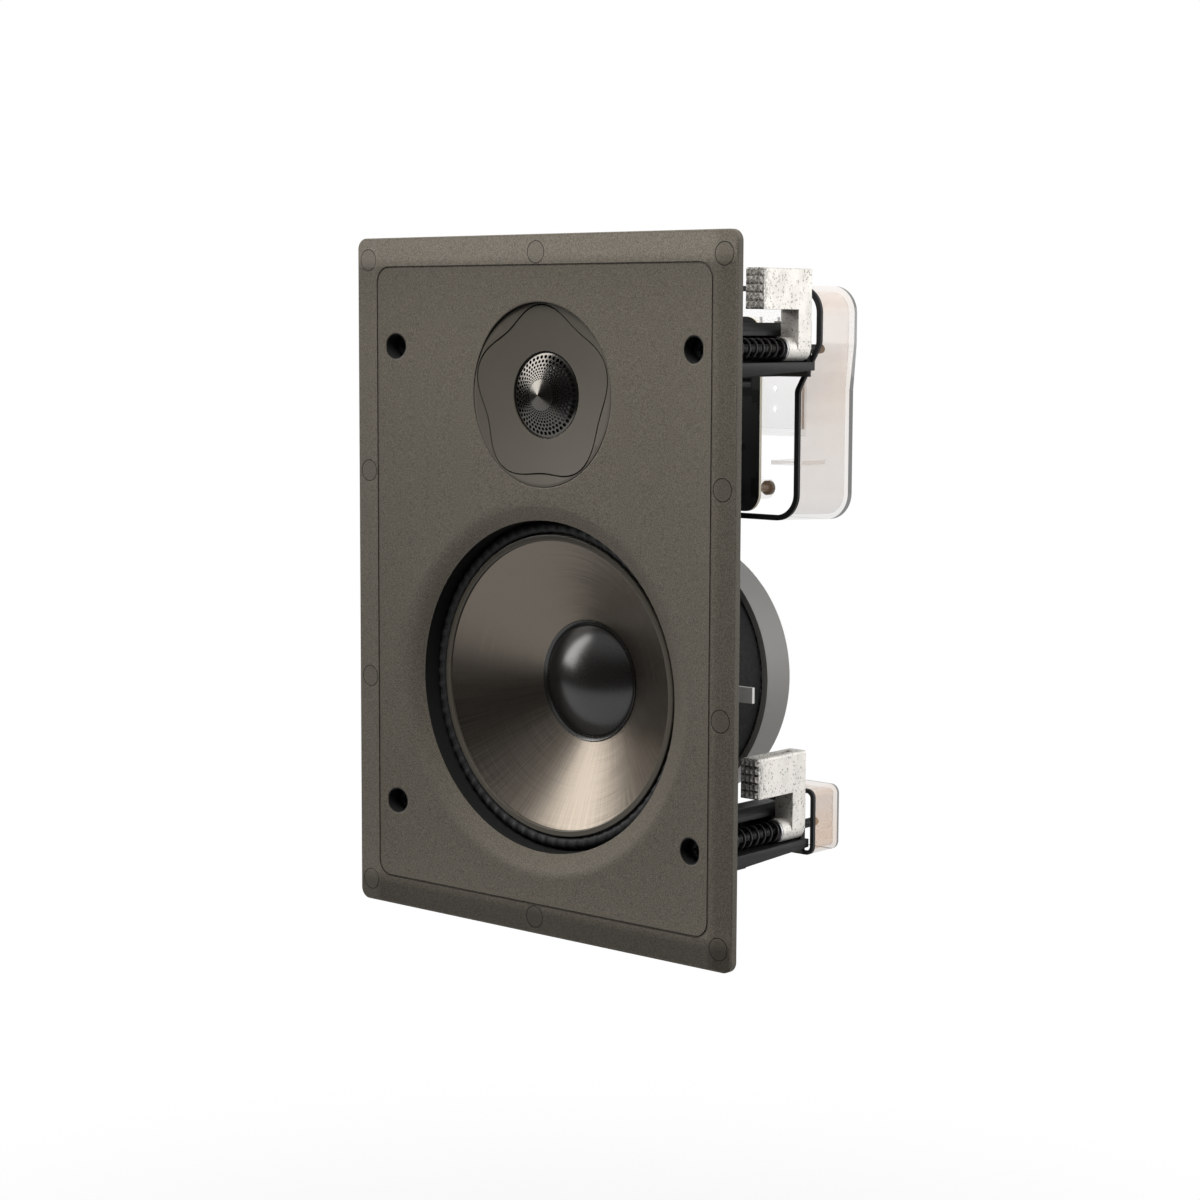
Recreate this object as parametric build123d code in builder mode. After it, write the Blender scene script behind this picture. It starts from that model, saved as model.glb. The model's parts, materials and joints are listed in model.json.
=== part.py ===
from build123d import *
import os
from math import cos, radians, sin, sqrt

os.makedirs("parts", exist_ok=True)

# Two-way in-wall speaker, out of its wall, with its four clamps folded in.
# Origin: centre of the wall cut-out, in the plane of the wall surface behind the flange.
# The front faces -Y, +X is the viewer's right, +Z is up and the works reach back along +Y.
# All sizes are in millimetres, and every y below is a depth behind the wall surface.

# Front plate
plate_width = 221.0
plate_height = 308.0
plate_corner = 5.0
plate_edge_round = 0.8
flange_thickness = 3.5
panel_wall = 3.0
groove_inset = 12.9
groove_end_inset = 13.3
groove_corner = 7.0
groove_width = 0.9
groove_depth = 0.5
skirt_inset = 1.6
skirt_wall = 2.2
skirt_depth = 10.0
dish_edge_slope = 0.12
dish_steps = [(16.0, 1.9, 14.0), (36.0, 3.2, 24.0), (62.0, 3.8, 32.0)]
dish_lead = 1.0
dish_lead_corner = 3.3

# Grille magnets, set flush in the flange
magnet_radius = 4.75
magnet_thickness = 1.8
magnet_gap = 0.15
magnet_edge_inset = 7.0
magnet_end_inset = 9.9
magnet_middle_inset = 7.7
magnet_side_height = 47.9

# Clamps: their screws stand at these places, and the left pair is turned half round
clamp_x = 87.0
clamp_z = 105.0
screw_radius = 2.1
screw_head_radius = 4.2
screw_head_height = 2.5
screw_tail = 12.0
access_radius = 5.5
seat_y = 5.5
seat_thickness = 3.5
boss_radius = 8.0
running_gap = 0.05
screw_hole_gap = 0.2
moving_gap = 0.5
touch_gap = 0.1

# Clamp arm, around the screw axis
barrel_radius = 5.2
barrel_length = 15.3
barrel_front_y = 56.6
leg_thickness = 9.3
arm_inner = 4.0
arm_outer = 5.5
jaw_low = 17.0
jaw_high = 34.5
jaw_length = 34.3
jaw_slot_width = 3.4
jaw_slot_length = 24.0
jaw_slot_depth = 12.0
tooth_rows = 5
tooth_columns = 4
tooth_height = 1.2
tooth_gap = 0.5
washer_thickness = 0.8
washer_radius = 5.0

# Coil spring behind each screw head
spring_radius = 4.3
spring_wire = 1.2
spring_turns = 11

# Channel that guides each clamp
web_offset = 12.0
web_thickness = 3.0
upper_rail_low = 5.8
upper_rail_high = 11.3
upper_lip_height = 2.2
upper_rail_reach = 6.4
upper_lip_reach = 7.4
upper_rail_short = 5.0
upper_lip_extra = 1.0
lower_rail_gap = 0.4
lower_rail_height = 7.0
lower_rail_end_height = 3.6
lower_rail_reach = 5.0
rib_height = 3.6
rib_thickness = 4.0
rib_length = 47.0
end_plate_gap = 0.5
end_plate_thickness = 3.0
end_plate_reach = 3.0
end_plate_half = 12.0

# Woofer
woofer_z = -44.4
woofer_hole_radius = 74.0
flare_radius = 92.0
flare_mid_radius = 80.0
flare_mid_depth = 4.0
flare_depth = 6.4
woofer_seat_y = 14.0
seat_flange = 3.0
seat_wall = 4.0
basket_radius = 86.5
basket_flange = 2.5
woofer_gasket = 0.8
woofer_screw_circle = 82.5
woofer_screws = 6
woofer_screw_radius = 2.0
woofer_screw_head = 3.8
woofer_screw_head_height = 2.4
trim_ring_radius = 67.5
trim_ring_inner = 64.6
trim_ring_y = 9.7
trim_ring_height = 1.4
cone_wall = 1.0
cone_neck_radius = 16.0
cone_neck_y = 39.5
cap_radius = 25.3
cap_ring_radius = 27.4
cap_height = 9.5
cap_wall = 0.7
surround_outer = 79.0
surround_inner = 65.6
surround_wall = 0.9
surround_roll = 2.5
surround_gap = 0.4
surround_ribs = 72
surround_rib_width = 2.2
surround_rib_length = 3.0
surround_rib_height = 0.5
former_wall = 0.4
former_end_y = 70.0
former_lip = 1.5
coil_wall = 0.9
coil_length = 10.0
basket_waist_radius = 70.0
basket_waist_y = 40.0
basket_wall = 3.0
basket_windows = 6
basket_window_angle = 44.0
basket_window_front_y = 20.5
motor_front_y = 58.5
motor_plate = 6.0
motor_plate_radius = 50.0
magnet_ring_radius = 58.5
magnet_ring_bore = 30.0
magnet_ring_height = 17.0
magnet_chamfer = 1.0
voice_gap = 1.0
pole_radius = 14.8
back_plate_thickness = 6.0
back_plate_radius = 56.0
rear_cover_radius = 61.5
rear_cover_wall = 3.0
rear_cover_depth = 17.5
rear_cover_round = 1.2
strip_gap = 2.0
strip_reach = 70.5
strip_thickness = 1.6
strip_width = 7.0
strip_drop = 3.0
pole_bore = 5.0
glue_gap = 0.05
spider_seat_radius = 50.0
spider_seat_wall = 4.0
spider_y = 45.5
spider_wall = 0.6
spider_waves = 4
spider_wave_height = 2.0
spider_flange = 1.5

# Tweeter
tweeter_z = 84.5
tweeter_radius = 40.0
tweeter_gap = 0.25
tweeter_front_y = 0.1
tweeter_seat_y = 6.5
tweeter_seat_wall = 2.0
tweeter_seat_rim = 4.0
tweeter_bore = 30.0
lobe_radius = 36.4
lobe_height = 2.5
lobe_count = 5
lobe_gap = 0.7
lobe_floor_y = 2.8
dish_bowl_radius = 39.0
dish_bowl_y = 3.2
dish_bowl_bulge = 0.58
lens_opening = 19.2
lens_radius = 17.8
lens_wall = 0.7
lens_apex_y = -1.5
lens_rim_y = 4.2
lens_tip_flat = 1.2
lens_lip = 1.2
lens_lip_gap = 0.2
lens_hole_inset = 1.9
lens_hole_radius = 0.7
lens_hole_rows = 4
lens_hole_count = 44
lens_row_ratio = 0.885
lens_flange = 20.4
dome_radius = 12.7
dome_height = 3.6
dome_wall = 0.3
dome_lift = 1.3
dome_edge = 16.0
dome_flange = 3.0
dome_roll = 0.7
tweeter_plate = 3.0
tweeter_plate_radius = 29.0
tweeter_magnet_bore = 17.0
tweeter_magnet_height = 10.0
tweeter_back_thickness = 4.0
tweeter_former_wall = 0.2
tweeter_pole_radius = 12.0
tweeter_pole_bore = 4.0
tweeter_gap_radius = 13.6
tweeter_coil_inner = 12.5
tweeter_coil_outer = 13.1
chamber_radius = 27.0
chamber_depth = 20.0
chamber_wall = 2.0

# Rear tub, its gasket and the crossover inside it
gasket_thickness = 1.5
gasket_width = 2.4
tub_depth_y = 99.5
tub_wall = 2.4
tub_bottom_z = 29.5
tub_top_z = 132.5
tub_front_half = 83.8
tub_lobe_half = 95.0
tub_lobe_low_z = 87.0
tub_lobe_high_z = 107.0
tub_back_half = 97.0
tub_back_low_half = 95.5
tub_corner = 12.0
tub_lobe_round = 7.0
shelf_z = 54.0
shelf_thickness = 2.0
shelf_reach = 16.0
vent_half = 72.0
vent_low_z = 66.0
vent_high_z = 122.0
vent_thickness = 2.2
vent_hole_radius = 1.7
vent_column = 8.5
vent_pitch = 9.2
vent_ledge = 3.0
board_half = 64.5
board_low_z = 33.0
board_high_z = 119.0
board_corner = 8.0
board_thickness = 1.6
board_gap = 2.8
post_x = 50.0
post_low_z = 42.0
post_high_z = 112.0
post_radius = 4.5
post_bore = 1.6
pillar_radius = 5.0
tub_screw_radius = 1.55
tub_screw_head = 3.2
tub_screw_head_height = 2.0
tub_screw_grip = 10.0
tub_screw_slot = 1.0

# Crossover parts
capacitor_radius = 8.0
capacitor_length = 24.0
inductor_radius = 11.0
inductor_bore = 5.0
inductor_height = 13.0
resistor_size = 8.0
resistor_length = 26.0
capacitor_places = [(-30.0, 98.0), (-30.0, 78.0), (30.0, 60.0)]
inductor_places = [(32.0, 94.0), (0.0, 70.0), (-36.0, 56.0)]
resistor_places = [(0.0, 92.0), (0.0, 104.0)]

# Connection terminals
terminal_half = 15.5
terminal_low_z = 36.5
terminal_high_z = 52.0
terminal_back_y = 97.0
terminal_window_gap = 0.4
button_radius = 3.6
button_gap = 0.2
button_stroke = 2.5
button_proud = 2.4
button_length = 7.0
button_pitch = 15.0
button_rise = 2.5
wire_hole_drop = 4.5
wire_hole_radius = 1.5

# Caps over the lower screw tails
tail_cap_depth = 18.0
tail_cap_inner = 14.0
tail_cap_outer = 7.5
tail_cap_low = 13.0
tail_cap_high = 16.5
tail_cap_corner = 4.0
tail_cap_wall = 1.8

# Worked out from the sizes above
front_y = -flange_thickness
barrel_back_y = barrel_front_y + barrel_length
washer_y = barrel_front_y - touch_gap - washer_thickness
end_plate_y = barrel_back_y + end_plate_gap
tower_end_y = end_plate_y + end_plate_thickness
tub_front_y = tower_end_y + gasket_thickness
groove_half_x = plate_width / 2 - groove_inset
groove_half_z = plate_height / 2 - groove_end_inset
skirt_half_x = groove_half_x + skirt_inset
skirt_half_z = groove_half_z + skirt_inset
gasket_y = woofer_seat_y + woofer_gasket
basket_back_y = gasket_y + basket_flange
motor_plate_y = motor_front_y + basket_wall
magnet_y = motor_plate_y + motor_plate
back_plate_y = magnet_y + magnet_ring_height
rear_y = back_plate_y + rear_cover_depth
coil_radius = cone_neck_radius + coil_wall
board_y = tower_end_y - board_gap
board_back_y = board_y + board_thickness
upper_rail_end_y = end_plate_y - upper_rail_short
clamps = {
    "upper_right": (clamp_x, clamp_z, 1),
    "lower_right": (clamp_x, -clamp_z, 1),
    "upper_left": (-clamp_x, clamp_z, -1),
    "lower_left": (-clamp_x, -clamp_z, -1),
}
post_places = [(x, z) for x in (-post_x, post_x) for z in (post_low_z, post_high_z)]


def face_at(y):
    """Plane across the speaker at depth y, looking towards the room."""
    return Plane.XZ.offset(-y)


def disc(x, z, radius, y_front, y_back, mode=Mode.ADD):
    """Round solid about a front-to-back axis."""
    with BuildSketch(face_at(y_back)) as outline:
        with Locations((x, z)):
            Circle(radius)
    extrude(to_extrude=outline.sketch, amount=y_back - y_front, mode=mode)


def block(x_pair, y_pair, z_pair, mode=Mode.ADD):
    """Square-cornered solid between pairs of x, y and z."""
    (x_low, x_high), (y_low, y_high), (z_low, z_high) = sorted(x_pair), sorted(y_pair), sorted(z_pair)
    with BuildSketch(face_at(y_high)) as outline:
        with Locations(((x_low + x_high) / 2, (z_low + z_high) / 2)):
            Rectangle(x_high - x_low, z_high - z_low)
    extrude(to_extrude=outline.sketch, amount=y_high - y_low, mode=mode)


def beside(clamp, across, depth, up, mode=Mode.ADD):
    """Square-cornered solid placed from a clamp's screw axis: across and up turn with the clamp."""
    x, z, turn = clamp
    block([x + turn * a for a in across], depth, [z + turn * a for a in up], mode)


def turned(points, z, mode=Mode.ADD):
    """Solid turned about the front-to-back axis at height z, from (radius, y) corners."""
    with BuildSketch(Plane.XY.offset(z)) as outline:
        with BuildLine():
            Polyline(*points, close=True)
        make_face()
    revolve(profiles=outline.sketch, axis=Axis((0, 0, z), (0, 1, 0)), mode=mode)


def dish(shift, grow, mode):
    """The shallow dish of the panel, as a solid that reaches forward out of the plate."""
    lead_inset = -dish_lead / dish_edge_slope
    sections = []
    for inset, drop, corner in [(lead_inset, -dish_lead, dish_lead_corner)] + dish_steps:
        with BuildSketch(face_at(front_y + drop + shift)) as outline:
            RectangleRounded(2 * (groove_half_x - inset + grow), 2 * (groove_half_z - inset + grow), corner)
        sections.append(outline.sketch)
    loft(sections=sections, ruled=True, mode=mode)


def finish(builder, name):
    """Labels a finished piece and writes it."""
    builder.part.label = name
    export_step(builder.part, f"parts/{name}.step")


def magnet_places():
    """Centres of the ten grille magnets around the flange."""
    x = plate_width / 2 - magnet_edge_inset
    z = plate_height / 2 - magnet_end_inset
    corners = [(sx * x, sz * z) for sx in (-1, 1) for sz in (-1, 1)]
    sides = [(sx * x, sz * magnet_side_height) for sx in (-1, 1) for sz in (-1, 1)]
    middles = [(0, sz * (plate_height / 2 - magnet_middle_inset)) for sz in (-1, 1)]
    return corners + sides + middles


def clamp_channel(clamp):
    """Guide channel, end plate and screw boss for one clamp, as part of the frame."""
    x, z, turn = clamp
    root_y = front_y + panel_wall
    web = (-web_offset - web_thickness, -web_offset)
    lower_top = -barrel_radius - lower_rail_gap
    lower_bottom = lower_top - lower_rail_height
    lip_top = upper_rail_low + upper_lip_height
    disc(x, z, boss_radius, root_y - 1, seat_y + seat_thickness)
    beside(clamp, web, (root_y, tower_end_y), (-end_plate_half, upper_rail_high))
    beside(clamp, (-web_offset, -web_offset + upper_rail_reach), (root_y, upper_rail_end_y),
           (lip_top, upper_rail_high))
    beside(clamp, (-web_offset, -web_offset + upper_lip_reach), (root_y, upper_rail_end_y + upper_lip_extra),
           (upper_rail_low, lip_top))
    taper = [(root_y, lower_bottom), (root_y, lower_top), (tower_end_y, lower_top),
             (tower_end_y, lower_top - lower_rail_end_height)]
    with BuildSketch(Plane.YZ.offset(x + turn * lower_rail_reach)) as rail:
        Polygon(*[(y, z + turn * up) for y, up in taper], align=None)
    extrude(to_extrude=rail.sketch, amount=-turn * (web_offset + lower_rail_reach))
    beside(clamp, (-web_offset, -web_offset + rib_thickness), (root_y, rib_length),
           (lower_bottom - rib_height, lower_bottom))
    beside(clamp, (web[0], end_plate_reach), (end_plate_y, tower_end_y), (-end_plate_half, end_plate_half))


def screw_passage(clamp):
    """Access hole from the front, down to the screw's seat, and its hole through the channel's end."""
    x, z, _ = clamp
    disc(x, z, access_radius, front_y - 1, seat_y, Mode.SUBTRACT)
    disc(x, z, screw_radius + screw_hole_gap, seat_y, seat_y + seat_thickness + 1, Mode.SUBTRACT)
    disc(x, z, screw_radius + screw_hole_gap, end_plate_y - 1, tower_end_y + 1, Mode.SUBTRACT)


def flare_cut():
    """Trumpet mouth that leads from the panel into the woofer's hole."""
    with BuildSketch(Plane.XY.offset(woofer_z)) as outline:
        with BuildLine():
            ThreePointArc((woofer_hole_radius, front_y + flare_depth),
                          (flare_mid_radius, front_y + flare_mid_depth), (flare_radius, front_y - 0.1))
            Polyline((flare_radius, front_y - 0.1), (flare_radius, front_y - 2), (0, front_y - 2),
                     (0, woofer_seat_y + 1), (woofer_hole_radius, woofer_seat_y + 1),
                     (woofer_hole_radius, front_y + flare_depth))
        make_face()
    revolve(profiles=outline.sketch, axis=Axis((0, 0, woofer_z), (0, 1, 0)), mode=Mode.SUBTRACT)


def woofer_screw_places():
    """Centres of the woofer's fixing screws."""
    step = 360 / woofer_screws
    angles = [radians(step * (i + 0.5)) for i in range(woofer_screws)]
    return [(woofer_screw_circle * cos(a), woofer_z + woofer_screw_circle * sin(a)) for a in angles]


# Front frame: flange, dished panel, skirt, seats for both drivers, clamp channels and posts
with BuildPart() as front_frame:
    with BuildSketch(face_at(0)):
        RectangleRounded(plate_width, plate_height, plate_corner)
    extrude(amount=flange_thickness)
    fillet(front_frame.faces().sort_by(Axis.Y)[0].edges(), plate_edge_round)
    with BuildSketch(face_at(skirt_depth)):
        RectangleRounded(2 * skirt_half_x, 2 * skirt_half_z, groove_corner)
        RectangleRounded(2 * (skirt_half_x - skirt_wall), 2 * (skirt_half_z - skirt_wall),
                         groove_corner - skirt_wall, mode=Mode.SUBTRACT)
    extrude(amount=skirt_depth)
    dish(panel_wall, skirt_wall, Mode.ADD)
    turned([(woofer_hole_radius - 1, front_y + 3), (flare_radius, front_y + 3), (flare_radius, front_y + 4.5),
            (woofer_hole_radius + seat_wall, woofer_seat_y - seat_flange - 5),
            (woofer_hole_radius + seat_wall, woofer_seat_y - seat_flange),
            (basket_radius, woofer_seat_y - seat_flange), (basket_radius, woofer_seat_y),
            (woofer_hole_radius - 1, woofer_seat_y)], woofer_z)
    disc(0, tweeter_z, tweeter_radius + tweeter_seat_rim, 0, tweeter_seat_y + tweeter_seat_wall)
    for place in clamps.values():
        clamp_channel(place)
    for post in post_places:
        disc(*post, post_radius, front_y + panel_wall, board_y)
    dish(0, 0, Mode.SUBTRACT)
    flare_cut()
    disc(0, tweeter_z, tweeter_radius + tweeter_gap, front_y - 1, tweeter_seat_y, Mode.SUBTRACT)
    disc(0, tweeter_z, tweeter_bore + tweeter_gap, front_y, tweeter_seat_y + tweeter_seat_wall + 1,
         Mode.SUBTRACT)
    for place in clamps.values():
        screw_passage(place)
    for post in post_places:
        disc(*post, post_bore, board_y - tub_screw_grip - 1, board_y + 1, Mode.SUBTRACT)
    for place in woofer_screw_places():
        disc(*place, woofer_screw_radius + running_gap, woofer_seat_y - seat_flange - 1, woofer_seat_y + 1,
             Mode.SUBTRACT)
    with BuildSketch(face_at(front_y + groove_depth)):
        RectangleRounded(2 * groove_half_x + groove_width, 2 * groove_half_z + groove_width,
                         groove_corner + groove_width / 2)
        RectangleRounded(2 * groove_half_x - groove_width, 2 * groove_half_z - groove_width,
                         groove_corner - groove_width / 2, mode=Mode.SUBTRACT)
    extrude(amount=groove_depth + 1, mode=Mode.SUBTRACT)
    with BuildSketch(face_at(front_y + magnet_thickness)):
        with Locations(*magnet_places()):
            Circle(magnet_radius + magnet_gap)
    extrude(amount=magnet_thickness + 1, mode=Mode.SUBTRACT)
finish(front_frame, "front_frame")

with BuildPart() as grille_magnets:
    with BuildSketch(face_at(front_y + magnet_thickness)):
        with Locations(*magnet_places()):
            Circle(magnet_radius)
    extrude(amount=magnet_thickness)
finish(grille_magnets, "grille_magnets")


def clamp_screw(clamp):
    """Pan-head machine screw with a cross recess, from its seat to its tail."""
    x, z, _ = clamp
    head_y = seat_y - touch_gap - screw_head_height
    disc(x, z, screw_head_radius, head_y, head_y + screw_head_height)
    fillet(edges().group_by(Axis.Y)[0], screw_head_height / 3)
    disc(x, z, screw_radius, head_y + screw_head_height, tower_end_y + screw_tail)
    chamfer(edges().group_by(Axis.Y)[-1], screw_radius / 4)
    for width, height in ((1, screw_head_radius), (screw_head_radius, 1)):
        block((x - width / 2, x + width / 2), (head_y - 1, head_y + screw_head_height / 2),
              (z - height / 2, z + height / 2), Mode.SUBTRACT)


def clamp_arm(clamp):
    """Cast dog-leg arm: barrel on the screw, leg, and toothed jaw that reaches forward."""
    x, z, turn = clamp
    jaw_y = barrel_back_y - jaw_length
    disc(x, z, barrel_radius, barrel_front_y, barrel_back_y)
    beside(clamp, (-arm_inner, arm_outer), (barrel_back_y - leg_thickness, barrel_back_y), (0, jaw_low + 1))
    beside(clamp, (-arm_inner, arm_outer), (jaw_y, barrel_back_y), (jaw_low, jaw_high))
    fillet(edges().filter_by(Axis.Y).group_by(Axis.Z)[-1 if turn > 0 else 0], 1.0)
    middle = (arm_outer - arm_inner) / 2
    slot = (middle - jaw_slot_width / 2, middle + jaw_slot_width / 2)
    slot_y = barrel_back_y - (jaw_length + jaw_slot_length) / 2
    beside(clamp, slot, (slot_y, slot_y + jaw_slot_length),
           (jaw_high - jaw_slot_depth, jaw_high + 1), Mode.SUBTRACT)
    disc(x, z, screw_radius + running_gap, barrel_front_y - 1, barrel_back_y + 1, Mode.SUBTRACT)
    column = (arm_inner + arm_outer) / tooth_columns
    row = (jaw_high - jaw_low) / tooth_rows
    middle_x = x + turn * middle
    middle_z = z + turn * (jaw_low + jaw_high) / 2
    with BuildSketch(face_at(jaw_y)) as teeth:
        with Locations((middle_x, middle_z)):
            with GridLocations(column, row, tooth_columns, tooth_rows):
                Rectangle(column - tooth_gap, row - tooth_gap)
    extrude(to_extrude=teeth.sketch, amount=tooth_height, taper=30)


def clamp_washer(clamp):
    """Flat washer between the spring and the arm."""
    x, z, _ = clamp
    disc(x, z, washer_radius, washer_y, washer_y + washer_thickness)
    disc(x, z, screw_radius + running_gap, washer_y - 1, washer_y + washer_thickness + 1, Mode.SUBTRACT)


def clamp_spring(clamp):
    """Coil spring from the screw's seat to the washer."""
    x, z, _ = clamp
    start = seat_y + seat_thickness + spring_wire / 2
    end = washer_y - spring_wire / 2
    pitch = (end - start) / spring_turns
    path = Helix(pitch, end - start, spring_radius, center=(x, start, z), direction=(0, 1, 0))
    with BuildSketch(Plane(path @ 0, z_dir=path % 0)) as wire:
        RegularPolygon(spring_wire / 2, 6)
    sweep(sections=wire.sketch, path=path, is_frenet=True)


for side, place in clamps.items():
    with BuildPart() as screw:
        clamp_screw(place)
    finish(screw, f"clamp_screw_{side}")
    with BuildPart() as arm:
        clamp_arm(place)
    finish(arm, f"clamp_arm_{side}")
    with BuildPart() as washer:
        clamp_washer(place)
    finish(washer, f"clamp_washer_{side}")
    with BuildPart() as spring:
        clamp_spring(place)
    finish(spring, f"clamp_spring_{side}")


# Tweeter
def lobe_outline(growth=0.0):
    """Closed wavy outline with five lobes, the first of them at the top."""
    count = 12 * lobe_count
    points = []
    for i in range(count):
        angle = 2 * 180 * i / count
        reach = lobe_radius + growth + lobe_height * cos(radians(lobe_count * (angle - 90)))
        points.append((reach * cos(radians(angle)), tweeter_z + reach * sin(radians(angle))))
    Spline(*points, periodic=True)


def tweeter_bowl():
    """Cut of the shallow bowl across the whole face of the tweeter."""
    middle = (dish_bowl_radius + lens_opening) / 2
    with BuildSketch(Plane.XY.offset(tweeter_z)) as outline:
        with BuildLine():
            ThreePointArc((dish_bowl_radius, tweeter_front_y),
                          (middle, tweeter_front_y + dish_bowl_bulge * dish_bowl_y),
                          (lens_opening, tweeter_front_y + dish_bowl_y))
            Polyline((lens_opening, tweeter_front_y + dish_bowl_y), (0, tweeter_front_y + dish_bowl_y),
                     (0, front_y - 1), (dish_bowl_radius, front_y - 1), (dish_bowl_radius, tweeter_front_y))
        make_face()
    revolve(profiles=outline.sketch, axis=Axis((0, 0, tweeter_z), (0, 1, 0)), mode=Mode.SUBTRACT)


with BuildPart() as tweeter_bezel:
    disc(0, tweeter_z, tweeter_radius, tweeter_front_y, tweeter_seat_y)
    with BuildSketch(face_at(lobe_floor_y)) as lobes:
        with BuildLine():
            lobe_outline(lobe_gap)
        make_face()
    extrude(to_extrude=lobes.sketch, amount=lobe_floor_y - front_y, mode=Mode.SUBTRACT)
    disc(0, tweeter_z, tweeter_bore, front_y, tweeter_seat_y + 1, Mode.SUBTRACT)
    tweeter_bowl()
finish(tweeter_bezel, "tweeter_bezel")

waveguide_back_y = tweeter_seat_y + tweeter_seat_wall
lens_seat_y = tweeter_front_y + dish_bowl_y + lens_lip
with BuildPart() as tweeter_waveguide:
    with BuildSketch(face_at(lobe_floor_y)) as lobes:
        with BuildLine():
            lobe_outline()
        make_face()
    extrude(to_extrude=lobes.sketch, amount=lobe_floor_y - tweeter_front_y)
    disc(0, tweeter_z, tweeter_bore - tweeter_gap, lobe_floor_y, waveguide_back_y)
    tweeter_bowl()
    disc(0, tweeter_z, lens_opening, front_y, lens_seat_y + lens_lip_gap, Mode.SUBTRACT)
    disc(0, tweeter_z, lens_flange + tweeter_gap, lens_seat_y, waveguide_back_y + 1, Mode.SUBTRACT)
finish(tweeter_waveguide, "tweeter_waveguide")

with BuildPart() as tweeter_lens:
    turned([(0, lens_apex_y), (lens_tip_flat, lens_apex_y), (lens_radius, lens_rim_y),
            (lens_radius, lens_seat_y), (lens_flange, lens_seat_y), (lens_flange, lens_seat_y + lens_wall),
            (lens_radius - lens_wall, lens_seat_y + lens_wall), (lens_tip_flat, lens_apex_y + lens_wall),
            (0, lens_apex_y + lens_wall)], tweeter_z)
    with BuildSketch(face_at(waveguide_back_y)) as holes:
        for row in range(lens_hole_rows):
            with Locations((0, tweeter_z)):
                with PolarLocations((lens_radius - lens_hole_inset) * lens_row_ratio ** row, lens_hole_count,
                                    start_angle=(row % 2) * 180 / lens_hole_count):
                    Circle(lens_hole_radius * lens_row_ratio ** row)
    extrude(to_extrude=holes.sketch, amount=waveguide_back_y - front_y, mode=Mode.SUBTRACT)
finish(tweeter_lens, "tweeter_lens")

tweeter_plate_y = waveguide_back_y
tweeter_magnet_y = tweeter_plate_y + tweeter_plate
tweeter_back_y = tweeter_magnet_y + tweeter_magnet_height
chamber_y = tweeter_back_y + tweeter_back_thickness
dome_rim_y = tweeter_plate_y - dome_lift
dome_back_y = dome_rim_y + dome_wall


def sphere_of(radius, height):
    """Radius of the sphere whose cap has this radius and height."""
    return (radius ** 2 + height ** 2) / (2 * height)


def sphere_y(centre_y, sphere, radius):
    """Depth of a sphere's front surface at a distance from its axis."""
    return centre_y - sqrt(sphere ** 2 - radius ** 2)


with BuildPart() as tweeter_dome:
    dome_apex_y = dome_rim_y - dome_height
    sphere = sphere_of(dome_radius, dome_height)
    halfway = dome_radius / 2
    halfway_y = sphere_y(dome_apex_y + sphere, sphere, halfway)
    with BuildSketch(Plane.XY.offset(tweeter_z)) as outline:
        with BuildLine():
            ThreePointArc((0, dome_apex_y), (halfway, halfway_y), (dome_radius, dome_rim_y))
            Line((dome_radius, dome_rim_y), (dome_radius, dome_back_y))
            ThreePointArc((dome_radius, dome_back_y), (halfway, halfway_y + dome_wall),
                          (0, dome_apex_y + dome_wall))
            Line((0, dome_apex_y + dome_wall), (0, dome_apex_y))
        make_face()
    revolve(profiles=outline.sketch, axis=Axis((0, 0, tweeter_z), (0, 1, 0)))
finish(tweeter_dome, "tweeter_dome")

with BuildPart() as tweeter_surround:
    roll_inner = dome_radius + glue_gap
    roll_middle = (roll_inner + dome_edge) / 2
    roll_y = (dome_rim_y + tweeter_plate_y - dome_wall) / 2 - dome_roll
    flange_y = tweeter_plate_y - dome_wall
    with BuildSketch(Plane.XY.offset(tweeter_z)) as outline:
        with BuildLine():
            ThreePointArc((roll_inner, dome_rim_y), (roll_middle, roll_y), (dome_edge, flange_y))
            Polyline((dome_edge, flange_y), (dome_edge + dome_flange, flange_y),
                     (dome_edge + dome_flange, tweeter_plate_y), (dome_edge, tweeter_plate_y))
            ThreePointArc((dome_edge, tweeter_plate_y), (roll_middle, roll_y + dome_wall),
                          (roll_inner, dome_back_y))
            Line((roll_inner, dome_back_y), (roll_inner, dome_rim_y))
        make_face()
    revolve(profiles=outline.sketch, axis=Axis((0, 0, tweeter_z), (0, 1, 0)))
finish(tweeter_surround, "tweeter_surround")

with BuildPart() as tweeter_coil:
    former_radius = tweeter_coil_inner + tweeter_former_wall
    turned([(tweeter_coil_inner, dome_back_y), (former_radius, dome_back_y), (former_radius, tweeter_plate_y),
            (tweeter_coil_outer, tweeter_plate_y), (tweeter_coil_outer, tweeter_magnet_y),
            (tweeter_coil_inner, tweeter_magnet_y)], tweeter_z)
finish(tweeter_coil, "tweeter_coil")

with BuildPart() as tweeter_top_plate:
    disc(0, tweeter_z, tweeter_plate_radius, tweeter_plate_y, tweeter_magnet_y)
    disc(0, tweeter_z, tweeter_gap_radius, tweeter_plate_y - 1, tweeter_magnet_y + 1, Mode.SUBTRACT)
finish(tweeter_top_plate, "tweeter_top_plate")

with BuildPart() as tweeter_magnet:
    disc(0, tweeter_z, tweeter_plate_radius, tweeter_magnet_y, tweeter_back_y)
    disc(0, tweeter_z, tweeter_magnet_bore, tweeter_magnet_y - 1, tweeter_back_y + 1, Mode.SUBTRACT)
finish(tweeter_magnet, "tweeter_magnet")

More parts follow.
